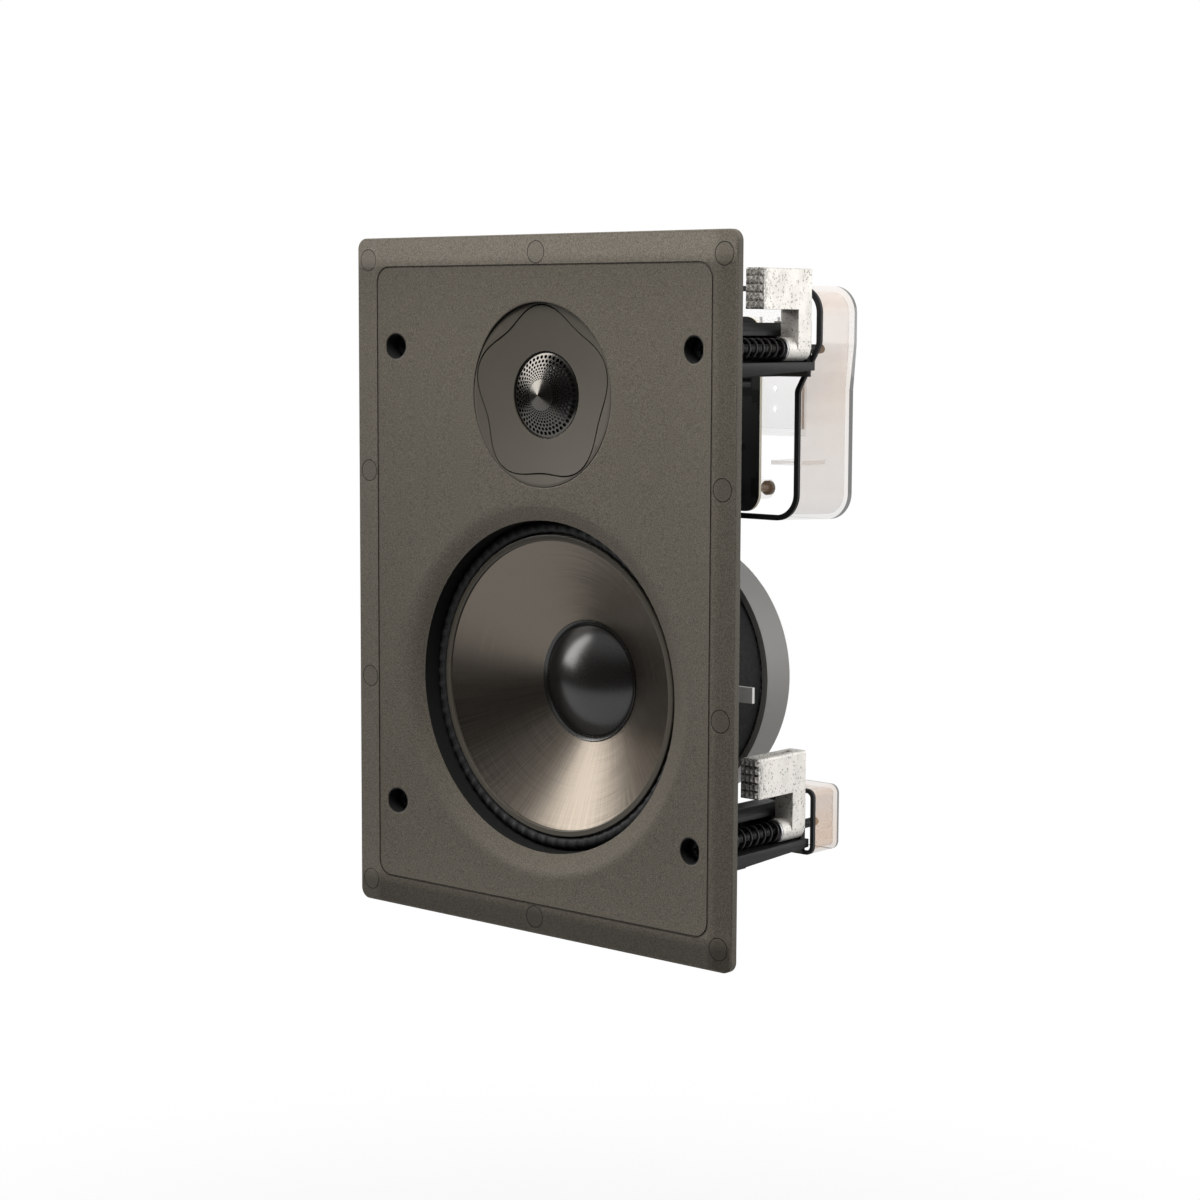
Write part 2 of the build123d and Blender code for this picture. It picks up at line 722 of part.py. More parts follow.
with BuildPart() as tweeter_back_plate:
    disc(0, tweeter_z, tweeter_plate_radius, tweeter_back_y, chamber_y)
    disc(0, tweeter_z, tweeter_pole_radius, tweeter_plate_y + touch_gap, tweeter_back_y)
    disc(0, tweeter_z, tweeter_pole_bore, tweeter_plate_y, chamber_y + 1, Mode.SUBTRACT)
finish(tweeter_back_plate, "tweeter_back_plate")

with BuildPart() as tweeter_chamber:
    disc(0, tweeter_z, chamber_radius, chamber_y, chamber_y + chamber_depth)
    fillet(edges().group_by(Axis.Y)[-1], chamber_wall)
    disc(0, tweeter_z, chamber_radius - chamber_wall, chamber_y - 1, chamber_y + chamber_depth - chamber_wall,
         Mode.SUBTRACT)
finish(tweeter_chamber, "tweeter_chamber")

# Woofer
cone_top_y = trim_ring_y + trim_ring_height
surround_y = cone_top_y + cone_wall
rim_y = gasket_y + glue_gap
neck_radius = cone_neck_radius + glue_gap


def cone_y(radius):
    """Depth of the cone's front surface at a radius."""
    share = (trim_ring_inner - radius) / (trim_ring_inner - cone_neck_radius)
    return cone_top_y + share * (cone_neck_y - cone_top_y)


with BuildPart() as gasket:
    disc(0, woofer_z, basket_radius, woofer_seat_y, gasket_y)
    disc(0, woofer_z, woofer_hole_radius, woofer_seat_y - 1, gasket_y + 1, Mode.SUBTRACT)
    for place in woofer_screw_places():
        disc(*place, woofer_screw_radius + running_gap, woofer_seat_y - 1, gasket_y + 1, Mode.SUBTRACT)
finish(gasket, "woofer_gasket")

with BuildPart() as woofer_basket:
    rebate_y = rim_y + surround_wall + glue_gap
    rebate_radius = surround_outer + surround_gap
    bore = coil_radius + 2 * voice_gap
    turned([(basket_radius, gasket_y), (basket_radius, basket_back_y),
            (woofer_hole_radius + basket_wall, basket_back_y),
            (basket_waist_radius + basket_wall, basket_waist_y), (magnet_ring_radius, motor_front_y),
            (magnet_ring_radius, motor_plate_y), (bore, motor_plate_y), (bore, motor_front_y),
            (magnet_ring_radius - basket_wall, motor_front_y), (basket_waist_radius, basket_waist_y),
            (woofer_hole_radius, rebate_y), (rebate_radius, rebate_y), (rebate_radius, gasket_y)], woofer_z)
    window_back_y = motor_front_y - basket_wall
    half = radians(basket_window_angle / 2)
    near, far = spider_seat_radius + basket_wall, basket_radius
    with BuildSketch(face_at(window_back_y)) as windows:
        with Locations((0, woofer_z)):
            with PolarLocations(0, basket_windows, start_angle=180 / basket_windows):
                Polygon((near * cos(half), near * sin(half)), (far * cos(half), far * sin(half)),
                        (far * cos(half), -far * sin(half)), (near * cos(half), -near * sin(half)),
                        align=None)
    extrude(to_extrude=windows.sketch, amount=window_back_y - basket_window_front_y, mode=Mode.SUBTRACT)
    disc(0, woofer_z, spider_seat_radius, spider_y + spider_wall + glue_gap, motor_front_y)
    disc(0, woofer_z, spider_seat_radius - spider_seat_wall, spider_y, motor_front_y, Mode.SUBTRACT)
    for place in woofer_screw_places():
        disc(*place, woofer_screw_radius + running_gap, gasket_y - 1, basket_back_y + 1, Mode.SUBTRACT)
finish(woofer_basket, "woofer_basket")

with BuildPart() as fixing_screws:
    for place in woofer_screw_places():
        disc(*place, woofer_screw_head, basket_back_y, basket_back_y + woofer_screw_head_height)
    fillet(edges().group_by(Axis.Y)[-1], woofer_screw_head_height / 3)
    for place in woofer_screw_places():
        disc(*place, woofer_screw_radius, woofer_seat_y - seat_flange, basket_back_y)
finish(fixing_screws, "woofer_screws")

with BuildPart() as woofer_surround:
    roll_start = trim_ring_radius + surround_gap
    roll_end = woofer_hole_radius - surround_gap
    roll_middle = (roll_start + roll_end) / 2
    roll_inside = (roll_end - roll_start) / 2 - surround_wall
    back_y = surround_y + surround_wall
    flange_back_y = rim_y + surround_wall
    with BuildSketch(Plane.XY.offset(woofer_z)) as outline:
        with BuildLine():
            Line((surround_inner, surround_y), (roll_start, surround_y))
            ThreePointArc((roll_start, surround_y), (roll_middle, surround_y - surround_roll),
                          (roll_end, surround_y))
            Polyline((roll_end, surround_y), (roll_end, rim_y), (surround_outer, rim_y),
                     (surround_outer, flange_back_y), (roll_end - surround_wall, flange_back_y),
                     (roll_end - surround_wall, surround_y))
            ThreePointArc((roll_end - surround_wall, surround_y), (roll_middle, surround_y - roll_inside),
                          (roll_start + surround_wall, surround_y))
            Polyline((roll_start + surround_wall, surround_y), (roll_start + surround_wall, back_y),
                     (surround_inner, back_y), (surround_inner, surround_y))
        make_face()
    revolve(profiles=outline.sketch, axis=Axis((0, 0, woofer_z), (0, 1, 0)))
    rib_back_y = surround_y - surround_roll + surround_wall
    with BuildSketch(face_at(rib_back_y)) as ribs:
        with Locations((0, woofer_z)):
            with PolarLocations(roll_middle, surround_ribs):
                Rectangle(surround_rib_length, surround_rib_width)
    extrude(to_extrude=ribs.sketch, amount=surround_wall + surround_rib_height)
finish(woofer_surround, "woofer_surround")

with BuildPart() as cone_trim_ring:
    turned([(trim_ring_inner, trim_ring_y), (trim_ring_radius, trim_ring_y), (trim_ring_radius, cone_top_y),
            (trim_ring_inner, cone_top_y)], woofer_z)
    fillet(edges().group_by(Axis.Y)[0], trim_ring_height / 3)
finish(cone_trim_ring, "cone_trim_ring")

with BuildPart() as woofer_cone:
    turned([(trim_ring_radius, cone_top_y), (trim_ring_inner, cone_top_y), (neck_radius, cone_y(neck_radius)),
            (neck_radius, cone_y(neck_radius) + cone_wall), (trim_ring_inner, surround_y),
            (trim_ring_radius, surround_y)], woofer_z)
finish(woofer_cone, "woofer_cone")

with BuildPart() as dust_cap:
    cap_edge_y = cone_y(cap_radius) - cap_wall - glue_gap
    cap_apex_y = cap_edge_y - cap_height
    sphere = sphere_of(cap_radius, cap_height)
    centre_y = cap_apex_y + sphere
    halfway = cap_radius / 2
    cap_inside = cap_radius - cap_wall
    ring_y = cone_y(cap_ring_radius) - glue_gap
    with BuildSketch(Plane.XY.offset(woofer_z)) as outline:
        with BuildLine():
            ThreePointArc((0, cap_apex_y), (halfway, sphere_y(centre_y, sphere, halfway)),
                          (cap_radius, cap_edge_y))
            Polyline((cap_radius, cap_edge_y), (cap_ring_radius, ring_y - cap_wall),
                     (cap_ring_radius, ring_y), (cap_inside, cone_y(cap_inside) - glue_gap),
                     (cap_inside, sphere_y(centre_y, sphere - cap_wall, cap_inside)))
            ThreePointArc((cap_inside, sphere_y(centre_y, sphere - cap_wall, cap_inside)),
                          (halfway, sphere_y(centre_y, sphere - cap_wall, halfway)),
                          (0, cap_apex_y + cap_wall))
            Line((0, cap_apex_y + cap_wall), (0, cap_apex_y))
        make_face()
    revolve(profiles=outline.sketch, axis=Axis((0, 0, woofer_z), (0, 1, 0)))
finish(dust_cap, "dust_cap")

with BuildPart() as coil_former:
    inside = cone_neck_radius - former_wall
    former_front_y = cone_neck_y - former_lip
    turned([(inside, former_front_y), (cone_neck_radius, former_front_y), (cone_neck_radius, former_end_y),
            (inside, former_end_y)], woofer_z)
finish(coil_former, "voice_coil_former")

with BuildPart() as voice_coil:
    turned([(neck_radius, former_end_y - coil_length), (coil_radius, former_end_y - coil_length),
            (coil_radius, former_end_y), (neck_radius, former_end_y)], woofer_z)
finish(voice_coil, "voice_coil")

with BuildPart() as woofer_spider:
    wave_start = neck_radius + spider_flange
    wave_end = spider_seat_radius - spider_seat_wall - spider_flange
    steps = 4 * spider_waves
    front = [(neck_radius, spider_y)]
    for i in range(steps + 1):
        front.append((wave_start + (wave_end - wave_start) * i / steps,
                      spider_y + spider_wave_height / 2 * sin(radians(90 * i))))
    front.append((spider_seat_radius, spider_y))
    turned(front + [(r, y + spider_wall) for r, y in reversed(front)], woofer_z)
finish(woofer_spider, "woofer_spider")

with BuildPart() as woofer_top_plate:
    disc(0, woofer_z, motor_plate_radius, motor_plate_y, magnet_y)
    disc(0, woofer_z, coil_radius + voice_gap, motor_plate_y - 1, magnet_y + 1, Mode.SUBTRACT)
finish(woofer_top_plate, "woofer_top_plate")

with BuildPart() as woofer_magnet:
    disc(0, woofer_z, magnet_ring_radius, magnet_y, back_plate_y)
    chamfer(edges(), magnet_chamfer)
    disc(0, woofer_z, magnet_ring_bore, magnet_y - 1, back_plate_y + 1, Mode.SUBTRACT)
finish(woofer_magnet, "woofer_magnet")

back_plate_end_y = back_plate_y + back_plate_thickness
with BuildPart() as woofer_back_plate:
    disc(0, woofer_z, back_plate_radius, back_plate_y, back_plate_end_y)
    disc(0, woofer_z, pole_radius, motor_plate_y, back_plate_y)
    disc(0, woofer_z, pole_bore, motor_plate_y - 1, back_plate_end_y + 1, Mode.SUBTRACT)
finish(woofer_back_plate, "woofer_back_plate")

with BuildPart() as woofer_rear_cover:
    disc(0, woofer_z, rear_cover_radius, back_plate_y, rear_y)
    fillet(edges().group_by(Axis.Y)[-1], rear_cover_round)
    inside_y = rear_y - rear_cover_wall
    disc(0, woofer_z, rear_cover_radius - rear_cover_wall, back_plate_y - 1, inside_y, Mode.SUBTRACT)
    disc(0, woofer_z, pole_radius, back_plate_end_y, inside_y)
finish(woofer_rear_cover, "woofer_rear_cover")

with BuildPart() as terminal_strip:
    strip_z = woofer_z - strip_drop
    block((motor_plate_radius + strip_gap, strip_reach), (motor_plate_y, motor_plate_y + strip_thickness),
          (strip_z - strip_width / 2, strip_z + strip_width / 2))
finish(terminal_strip, "woofer_terminal_strip")


# Rear tub, closed by a gasket against the ends of the upper clamp channels
def tub_outline(low_half, high_half, growth=0.0):
    """Outline across the tub, narrower below than beside the clamps, with rounded corners."""
    low, high = low_half + growth, high_half + growth
    bottom, top = tub_bottom_z - growth, tub_top_z + growth
    side = [(low, bottom), (low, tub_lobe_low_z), (high, tub_lobe_high_z), (high, top)]
    Polygon(*side, *[(-x, z) for x, z in reversed(side)], align=None)
    levels = vertices().group_by(Axis.Y)
    fillet(levels[1] + levels[2], tub_lobe_round + growth)
    levels = vertices().group_by(Axis.Y)
    fillet(levels[0] + levels[-1], tub_corner + growth)


tub_inside_y = tub_depth_y - tub_wall
block_z = (terminal_low_z + terminal_high_z) / 2

with BuildPart() as rear_tub:
    for growth, y_front, y_back, mode in ((0, tub_front_y, tub_depth_y, Mode.ADD),
                                          (-tub_wall, tub_front_y, tub_inside_y, Mode.SUBTRACT)):
        with BuildSketch(face_at(y_front)) as rim:
            tub_outline(tub_front_half, tub_lobe_half, growth)
        with BuildSketch(face_at(y_back)) as back:
            tub_outline(tub_back_low_half, tub_back_half, growth)
        loft(sections=[rim.sketch, back.sketch], ruled=True, mode=mode)
    for post in post_places:
        disc(*post, pillar_radius, board_back_y, tub_inside_y)
    for side in (-1, 1):
        inner, outer = tub_front_half - shelf_reach, tub_front_half - tub_wall / 2
        block((side * inner, side * outer), (tub_front_y, tub_inside_y), (shelf_z, shelf_z + shelf_thickness))
    block((-vent_half + vent_ledge, vent_half - vent_ledge), (tub_inside_y - 1, tub_depth_y + 1),
          (vent_low_z + vent_ledge, vent_high_z - vent_ledge), Mode.SUBTRACT)
    for x in (-post_x, post_x):
        disc(x, post_high_z, pillar_radius, board_back_y, tub_depth_y)
        block((x - pillar_radius, x + pillar_radius), (tub_inside_y, tub_depth_y), (post_high_z, vent_high_z))
    block((-terminal_half - terminal_window_gap, terminal_half + terminal_window_gap),
          (tub_inside_y - 1, tub_depth_y + 1),
          (terminal_low_z - terminal_window_gap, terminal_high_z + terminal_window_gap), Mode.SUBTRACT)
    for post in post_places:
        disc(*post, tub_screw_radius + screw_hole_gap, board_y, tub_depth_y + 1, Mode.SUBTRACT)
        disc(*post, tub_screw_head + screw_hole_gap, tub_depth_y - tub_screw_head_height, tub_depth_y + 1,
             Mode.SUBTRACT)
finish(rear_tub, "rear_tub")

with BuildPart() as tub_gasket:
    with BuildSketch(face_at(tub_front_y)):
        tub_outline(tub_front_half, tub_lobe_half)
    extrude(amount=gasket_thickness)
    with BuildSketch(face_at(tub_front_y)) as inside:
        tub_outline(tub_front_half, tub_lobe_half, -gasket_width)
    extrude(to_extrude=inside.sketch, amount=gasket_thickness, mode=Mode.SUBTRACT)
finish(tub_gasket, "tub_gasket")

with BuildPart() as tub_screws:
    head_y = tub_depth_y - tub_screw_head_height
    cross = (tub_screw_slot / 2, tub_screw_radius)
    for x, z in post_places:
        disc(x, z, tub_screw_head, head_y, tub_depth_y)
        disc(x, z, tub_screw_radius, board_y - tub_screw_grip, head_y)
        for across, up in (cross, reversed(cross)):
            block((x - across, x + across), (tub_depth_y - tub_screw_slot, tub_depth_y + 1), (z - up, z + up),
                  Mode.SUBTRACT)
finish(tub_screws, "tub_screws")

with BuildPart() as vent_panel:
    block((-vent_half, vent_half), (tub_inside_y - vent_thickness, tub_inside_y), (vent_low_z, vent_high_z))
    columns = int((vent_half - vent_ledge) / vent_column)
    rows = int((vent_high_z - vent_low_z - 2 * vent_ledge) / vent_pitch)
    with BuildSketch(face_at(tub_inside_y)) as holes:
        for side in (-1, 1):
            with Locations((side * vent_column / 2, (vent_low_z + vent_high_z) / 2 + side * vent_pitch / 4)):
                with GridLocations(2 * vent_column, vent_pitch, columns - 1, rows):
                    Circle(vent_hole_radius)
    extrude(to_extrude=holes.sketch, amount=vent_thickness, mode=Mode.SUBTRACT)
    for post in post_places:
        disc(*post, pillar_radius + moving_gap, tub_inside_y - vent_thickness - 1, tub_inside_y + 1,
             Mode.SUBTRACT)
finish(vent_panel, "vent_panel")

with BuildPart() as crossover_board:
    with BuildSketch(face_at(board_back_y)):
        with Locations((0, (board_low_z + board_high_z) / 2)):
            RectangleRounded(2 * board_half, board_high_z - board_low_z, board_corner)
        with Locations(*post_places):
            Circle(tub_screw_radius + screw_hole_gap, mode=Mode.SUBTRACT)
    extrude(amount=board_thickness)
finish(crossover_board, "crossover_board")


def on_board(place, half_across, half_up, height, mode=Mode.ADD):
    """Square-cornered part that stands on the rear face of the board."""
    x, z = place
    block((x - half_across, x + half_across), (board_back_y, board_back_y + height),
          (z - half_up, z + half_up), mode)


with BuildPart() as capacitors:
    for x, z in capacitor_places:
        with BuildSketch(Plane.YZ.offset(x - capacitor_length / 2)) as end:
            with Locations((board_back_y + glue_gap + capacitor_radius, z)):
                Circle(capacitor_radius)
        extrude(to_extrude=end.sketch, amount=capacitor_length)
finish(capacitors, "capacitors")

with BuildPart() as inductors:
    for place in inductor_places:
        disc(*place, inductor_radius, board_back_y, board_back_y + inductor_height)
        disc(*place, inductor_bore, board_back_y - 1, board_back_y + inductor_height + 1, Mode.SUBTRACT)
finish(inductors, "inductors")

with BuildPart() as resistors:
    for place in resistor_places:
        on_board(place, resistor_length / 2, resistor_size / 2, resistor_size)
finish(resistors, "resistors")

button_places = {"red": (-button_pitch / 2, block_z), "black": (button_pitch / 2, block_z)}
button_back_y = terminal_back_y + button_proud
button_front_y = button_back_y - button_length

with BuildPart() as terminal_block:
    block((-terminal_half, terminal_half), (board_back_y, terminal_back_y), (terminal_low_z, terminal_high_z))
    for x, z in button_places.values():
        disc(x, z + button_rise, button_radius + button_gap, button_front_y - button_stroke - moving_gap,
             terminal_back_y + 1, Mode.SUBTRACT)
        disc(x, z - wire_hole_drop, wire_hole_radius, button_front_y, terminal_back_y + 1, Mode.SUBTRACT)
finish(terminal_block, "terminal_block")

for colour, (x, z) in button_places.items():
    with BuildPart() as button:
        disc(x, z + button_rise, button_radius, button_front_y, button_back_y)
        fillet(edges().group_by(Axis.Y)[-1], button_radius / 4)
    finish(button, f"terminal_button_{colour}")


def tail_cap_outline(clamp, growth=0.0):
    """Rounded outline of the cap over one lower screw's tail."""
    x, z, turn = clamp
    across = (-tail_cap_inner - growth, tail_cap_outer + growth)
    up = (-tail_cap_low - growth, tail_cap_high + growth)
    with Locations((x + turn * sum(across) / 2, z + turn * sum(up) / 2)):
        RectangleRounded(across[1] - across[0], up[1] - up[0], tail_cap_corner + growth)


for side in ("right", "left"):
    place = clamps[f"lower_{side}"]
    with BuildPart() as tail_cap:
        with BuildSketch(face_at(tub_front_y + tail_cap_depth)):
            tail_cap_outline(place)
        extrude(amount=tail_cap_depth)
        with BuildSketch(face_at(tub_front_y + tail_cap_depth - tail_cap_wall)) as inside:
            tail_cap_outline(place, -tail_cap_wall)
        extrude(to_extrude=inside.sketch, amount=tail_cap_depth - tail_cap_wall, mode=Mode.SUBTRACT)
    finish(tail_cap, f"tail_cap_{side}")
    with BuildPart() as cap_gasket:
        with BuildSketch(face_at(tub_front_y)):
            tail_cap_outline(place)
        extrude(amount=gasket_thickness)
        with BuildSketch(face_at(tub_front_y)) as inside:
            tail_cap_outline(place, -tail_cap_wall)
        extrude(to_extrude=inside.sketch, amount=gasket_thickness, mode=Mode.SUBTRACT)
    finish(cap_gasket, f"tail_cap_gasket_{side}")
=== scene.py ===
import json
import math

import bmesh
import bpy
from mathutils import Matrix, Vector

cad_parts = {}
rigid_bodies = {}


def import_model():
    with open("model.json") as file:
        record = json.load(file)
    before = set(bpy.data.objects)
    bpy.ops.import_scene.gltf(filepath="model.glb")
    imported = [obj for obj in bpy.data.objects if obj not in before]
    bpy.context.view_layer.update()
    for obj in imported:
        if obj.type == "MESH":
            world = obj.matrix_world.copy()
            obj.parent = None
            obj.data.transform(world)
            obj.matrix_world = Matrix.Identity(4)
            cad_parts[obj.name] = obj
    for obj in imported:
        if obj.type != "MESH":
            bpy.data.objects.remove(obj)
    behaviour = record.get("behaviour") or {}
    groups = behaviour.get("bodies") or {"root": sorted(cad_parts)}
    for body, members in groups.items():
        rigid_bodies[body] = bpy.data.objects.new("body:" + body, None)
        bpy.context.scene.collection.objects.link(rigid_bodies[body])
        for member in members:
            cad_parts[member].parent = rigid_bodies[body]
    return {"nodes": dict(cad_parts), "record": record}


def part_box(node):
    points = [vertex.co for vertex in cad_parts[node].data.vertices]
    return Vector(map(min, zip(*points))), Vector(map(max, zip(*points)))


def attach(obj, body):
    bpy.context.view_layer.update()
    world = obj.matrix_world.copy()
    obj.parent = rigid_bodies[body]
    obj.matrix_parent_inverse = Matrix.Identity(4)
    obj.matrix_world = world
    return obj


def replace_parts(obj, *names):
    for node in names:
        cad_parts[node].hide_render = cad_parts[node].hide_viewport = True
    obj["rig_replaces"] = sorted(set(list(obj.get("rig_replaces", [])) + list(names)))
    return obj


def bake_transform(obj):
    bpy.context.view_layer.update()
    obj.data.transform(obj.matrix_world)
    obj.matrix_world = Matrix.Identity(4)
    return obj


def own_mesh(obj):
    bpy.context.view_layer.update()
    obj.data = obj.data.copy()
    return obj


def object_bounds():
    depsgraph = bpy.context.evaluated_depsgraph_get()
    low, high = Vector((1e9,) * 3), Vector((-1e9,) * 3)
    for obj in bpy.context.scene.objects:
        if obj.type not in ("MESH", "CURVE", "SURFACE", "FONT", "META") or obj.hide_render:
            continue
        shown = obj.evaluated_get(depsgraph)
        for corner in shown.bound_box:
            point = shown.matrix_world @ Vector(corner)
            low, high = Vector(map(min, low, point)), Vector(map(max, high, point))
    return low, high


# Looks of a two-way in-wall speaker, seen out of its wall from the front right.
# Sizes of the pieces and of the plate are millimetres, which MM turns into the frame's metres.
# Depths of relief, the stage and the camera are in metres.
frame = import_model()
cad_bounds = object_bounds()
MM = 0.001

SIDES = ("upper_right", "lower_right", "upper_left", "lower_left")


def middle_of(node):
    """Centre of a node's box, in millimetres."""
    low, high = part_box(node)
    return (low + high) / 2 / MM


def size_of(node):
    """Width, depth and height of a node's box, in millimetres."""
    low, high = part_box(node)
    return (high - low) / MM


woofer_z = middle_of("woofer_magnet").z
tweeter_z = middle_of("tweeter_magnet").z


class Wire:
    """A shader socket. Sums, products and powers of wires add Math nodes."""

    def __init__(self, nodes, socket):
        self.nodes = nodes
        self.socket = socket

    def math(self, operation, *others):
        return self.nodes.make("ShaderNodeMath", {"operation": operation}, [self, *others])

    def __add__(self, other):
        return self.math("ADD", other)

    def __radd__(self, other):
        return self.math("ADD", other)

    def __sub__(self, other):
        return self.math("SUBTRACT", other)

    def __rsub__(self, other):
        return self.nodes.make("ShaderNodeMath", {"operation": "SUBTRACT"}, [other, self])

    def __mul__(self, other):
        return self.math("MULTIPLY", other)

    def __rmul__(self, other):
        return self.math("MULTIPLY", other)

    def __pow__(self, other):
        return self.math("POWER", other)

    def __truediv__(self, other):
        return self.math("DIVIDE", other)

    def above(self, edge):
        return self.math("GREATER_THAN", edge)

    def below(self, edge):
        return self.math("LESS_THAN", edge)

    def most(self, other):
        return self.math("MAXIMUM", other)

    def between(self, low, high):
        """0 below low, 1 above high and smooth between them."""
        smooth = {"interpolation_type": "SMOOTHSTEP"}
        return self.nodes.make("ShaderNodeMapRange", smooth, [self, low, high])

    def outputs(self):
        """Every output of this wire's node."""
        return [Wire(self.nodes, socket) for socket in self.socket.node.outputs]


class Nodes:
    """A node tree, and the nodes that finishes and the stage need."""

    def __init__(self, tree):
        self.tree = tree

    def feed(self, socket, value):
        if isinstance(value, Wire):
            self.tree.links.new(value.socket, socket)
        elif hasattr(value, "__len__") and len(value) == 3 and socket.type == "RGBA":
            socket.default_value = (*value, 1.0)
        else:
            socket.default_value = value

    def make(self, kind, settings=None, inputs=(), output=0):
        """Adds a node, with its settings and the values or wires of its sockets."""
        node = self.tree.nodes.new(kind)
        for key, value in (settings or {}).items():
            setattr(node, key, value)
        pairs = inputs.items() if isinstance(inputs, dict) else enumerate(inputs)
        for key, value in pairs:
            self.feed(node.inputs[key], value)
        return Wire(self, node.outputs[output]) if len(node.outputs) else None

    def place(self):
        """The point's place on the object, in metres along x, y and z."""
        return self.make("ShaderNodeTexCoord", output="Object")

    def normal(self):
        return self.make("ShaderNodeNewGeometry", output="Normal")

    def split(self, vector):
        return self.make("ShaderNodeSeparateXYZ", inputs=[vector]).outputs()

    def join(self, x, y, z):
        return self.make("ShaderNodeCombineXYZ", inputs=[x, y, z])

    def vector(self, operation, *others):
        return self.make("ShaderNodeVectorMath", {"operation": operation}, others)

    def scale(self, vector, share):
        inputs = {"Vector": vector, "Scale": share}
        return self.make("ShaderNodeVectorMath", {"operation": "SCALE"}, inputs)

    def tilted(self, normal, tilt):
        """A normal pushed over by a vector."""
        return self.vector("NORMALIZE", self.vector("ADD", normal, tilt))

    def noise(self, scale, detail=2.0, rough=0.5, at=None):
        inputs = {"Vector": at or self.place(), "Scale": scale, "Detail": detail, "Roughness": rough}
        return self.make("ShaderNodeTexNoise", inputs=inputs)

    def mix(self, factor, a, b):
        """A blend of two colours, which are the node's inputs 6 and 7 and its output 2."""
        return self.make("ShaderNodeMix", {"data_type": "RGBA"}, {0: factor, 6: a, 7: b}, 2)

    def bump(self, height, distance, base=None):
        """A normal with relief, over the surface's own normal or over another."""
        inputs = {"Height": height, "Distance": distance}
        if base:
            inputs["Normal"] = base
        return self.make("ShaderNodeBump", inputs=inputs)

    def seen(self):
        """1 on rays from the camera and on those that gloss and glass send out."""
        path = {wire.socket.name: wire for wire in self.make("ShaderNodeLightPath").outputs()}
        return path["Is Camera Ray"].most(path["Is Glossy Ray"]).most(path["Is Transmission Ray"])


class Finish(Nodes):
    """One procedural material: a Principled shader and the nodes that feed it."""

    def __init__(self, name, **values):
        self.material = bpy.data.materials.new(name)
        self.material.use_nodes = True
        super().__init__(self.material.node_tree)
        self.shader = self.tree.nodes["Principled BSDF"]
        self.set(**values)

    def set(self, **values):
        """Sets the shader's sockets, with _ for the space in their names."""
        for key, value in values.items():
            self.feed(self.shader.inputs[key.replace("_", " ")], value)


def scaled(colour, share):
    return tuple(min(1.0, c * share) for c in colour)


# Finishes
def moulded(name, colour, grain=1400.0, depth=0.00006, rough=0.5, spread=0.18, shine=0.5):
    """Moulded plastic, ferrite or cement with a sand grain."""
    finish = Finish(name, Specular_IOR_Level=shine)
    fine = finish.noise(grain, 2.0, 0.6)
    speck = finish.noise(grain * 0.5, 1.0)
    shade = (fine * 0.5 + speck * 0.5).between(0.35, 0.65)
    finish.set(Base_Color=finish.mix(shade, scaled(colour, 1 - spread), scaled(colour, 1 + spread)),
               Roughness=rough - fine * 0.12, Normal=finish.bump(fine, depth))
    return finish.material


# Front plate: its edge, groove, screw holes, mouth, bezel and magnets
edge_x = size_of("front_frame").x / 2
edge_z = size_of("front_frame").z / 2
edge_round = 0.9
edge_paint = 1.6
front_depth = 6.8
groove_x = 97.7
groove_z = 140.8
screw_x = middle_of("clamp_screw_upper_right").x
screw_z = middle_of("clamp_screw_upper_right").z
access_radius = 5.9
access_y = -2.9
mouth_radius = 75.2
mouth_y = 4.6
bezel_radius = size_of("tweeter_bezel").x / 2
# The bezel's and the magnets' ring widths set the near-black rings painted as shade in their gaps
bezel_line_in = 0.4
bezel_line_out = 0.3
magnet_radius = 4.8
magnet_line = 0.2
magnet_x = edge_x - 7.0
magnet_places = ((magnet_x, edge_z - 9.9), (magnet_x, 47.9), (0.0, edge_z - 7.7))

# How steeply the plate's face leans, and over what stretch
dish_slope = 0.17
dish_reach = 26.0
crown_slope = 0.34
crown_reach = 5.0
flare_slope = 0.95
flare_radius = 86.0
flare_share = 0.85
flare_change = 0.65
lip_slope = 0.8
lip_start = 5.6
lip_stop = 6.5
rim_slope = 0.5
rim_start = bezel_radius + 0.3
rim_stop = bezel_radius + 1.1

# Limits of a normal's y on faces that are painted, and on front and back faces that are flat-shaded
painted_facing = -0.22
front_facing = -0.35
back_facing = 0.8


def far(across, along):
    """Distance from a round feature's middle."""
    return (across * across + along * along) ** 0.5


def lean(distance, start, stop, steep):
    """How far the front leans in round a feature, for each metre from its middle."""
    return (1.0 - distance.between(start * MM, stop * MM)) * steep / distance


def slope(across, groove):
    """How far the panel leans in from its groove on, and the flange out."""
    inset = groove * MM - across
    dish = (inset * (-1 / (dish_reach * MM))).math("EXPONENT") * inset.above(0.0) * -dish_slope
    return dish + (inset * -1.0).between(0.0, crown_reach * MM) * crown_slope


def thin_ring(distance, radius, inside, outside):
    """1 on a thin ring round a feature, and 0 off it."""
    return distance.above((radius - inside) * MM) * distance.below((radius + outside) * MM)


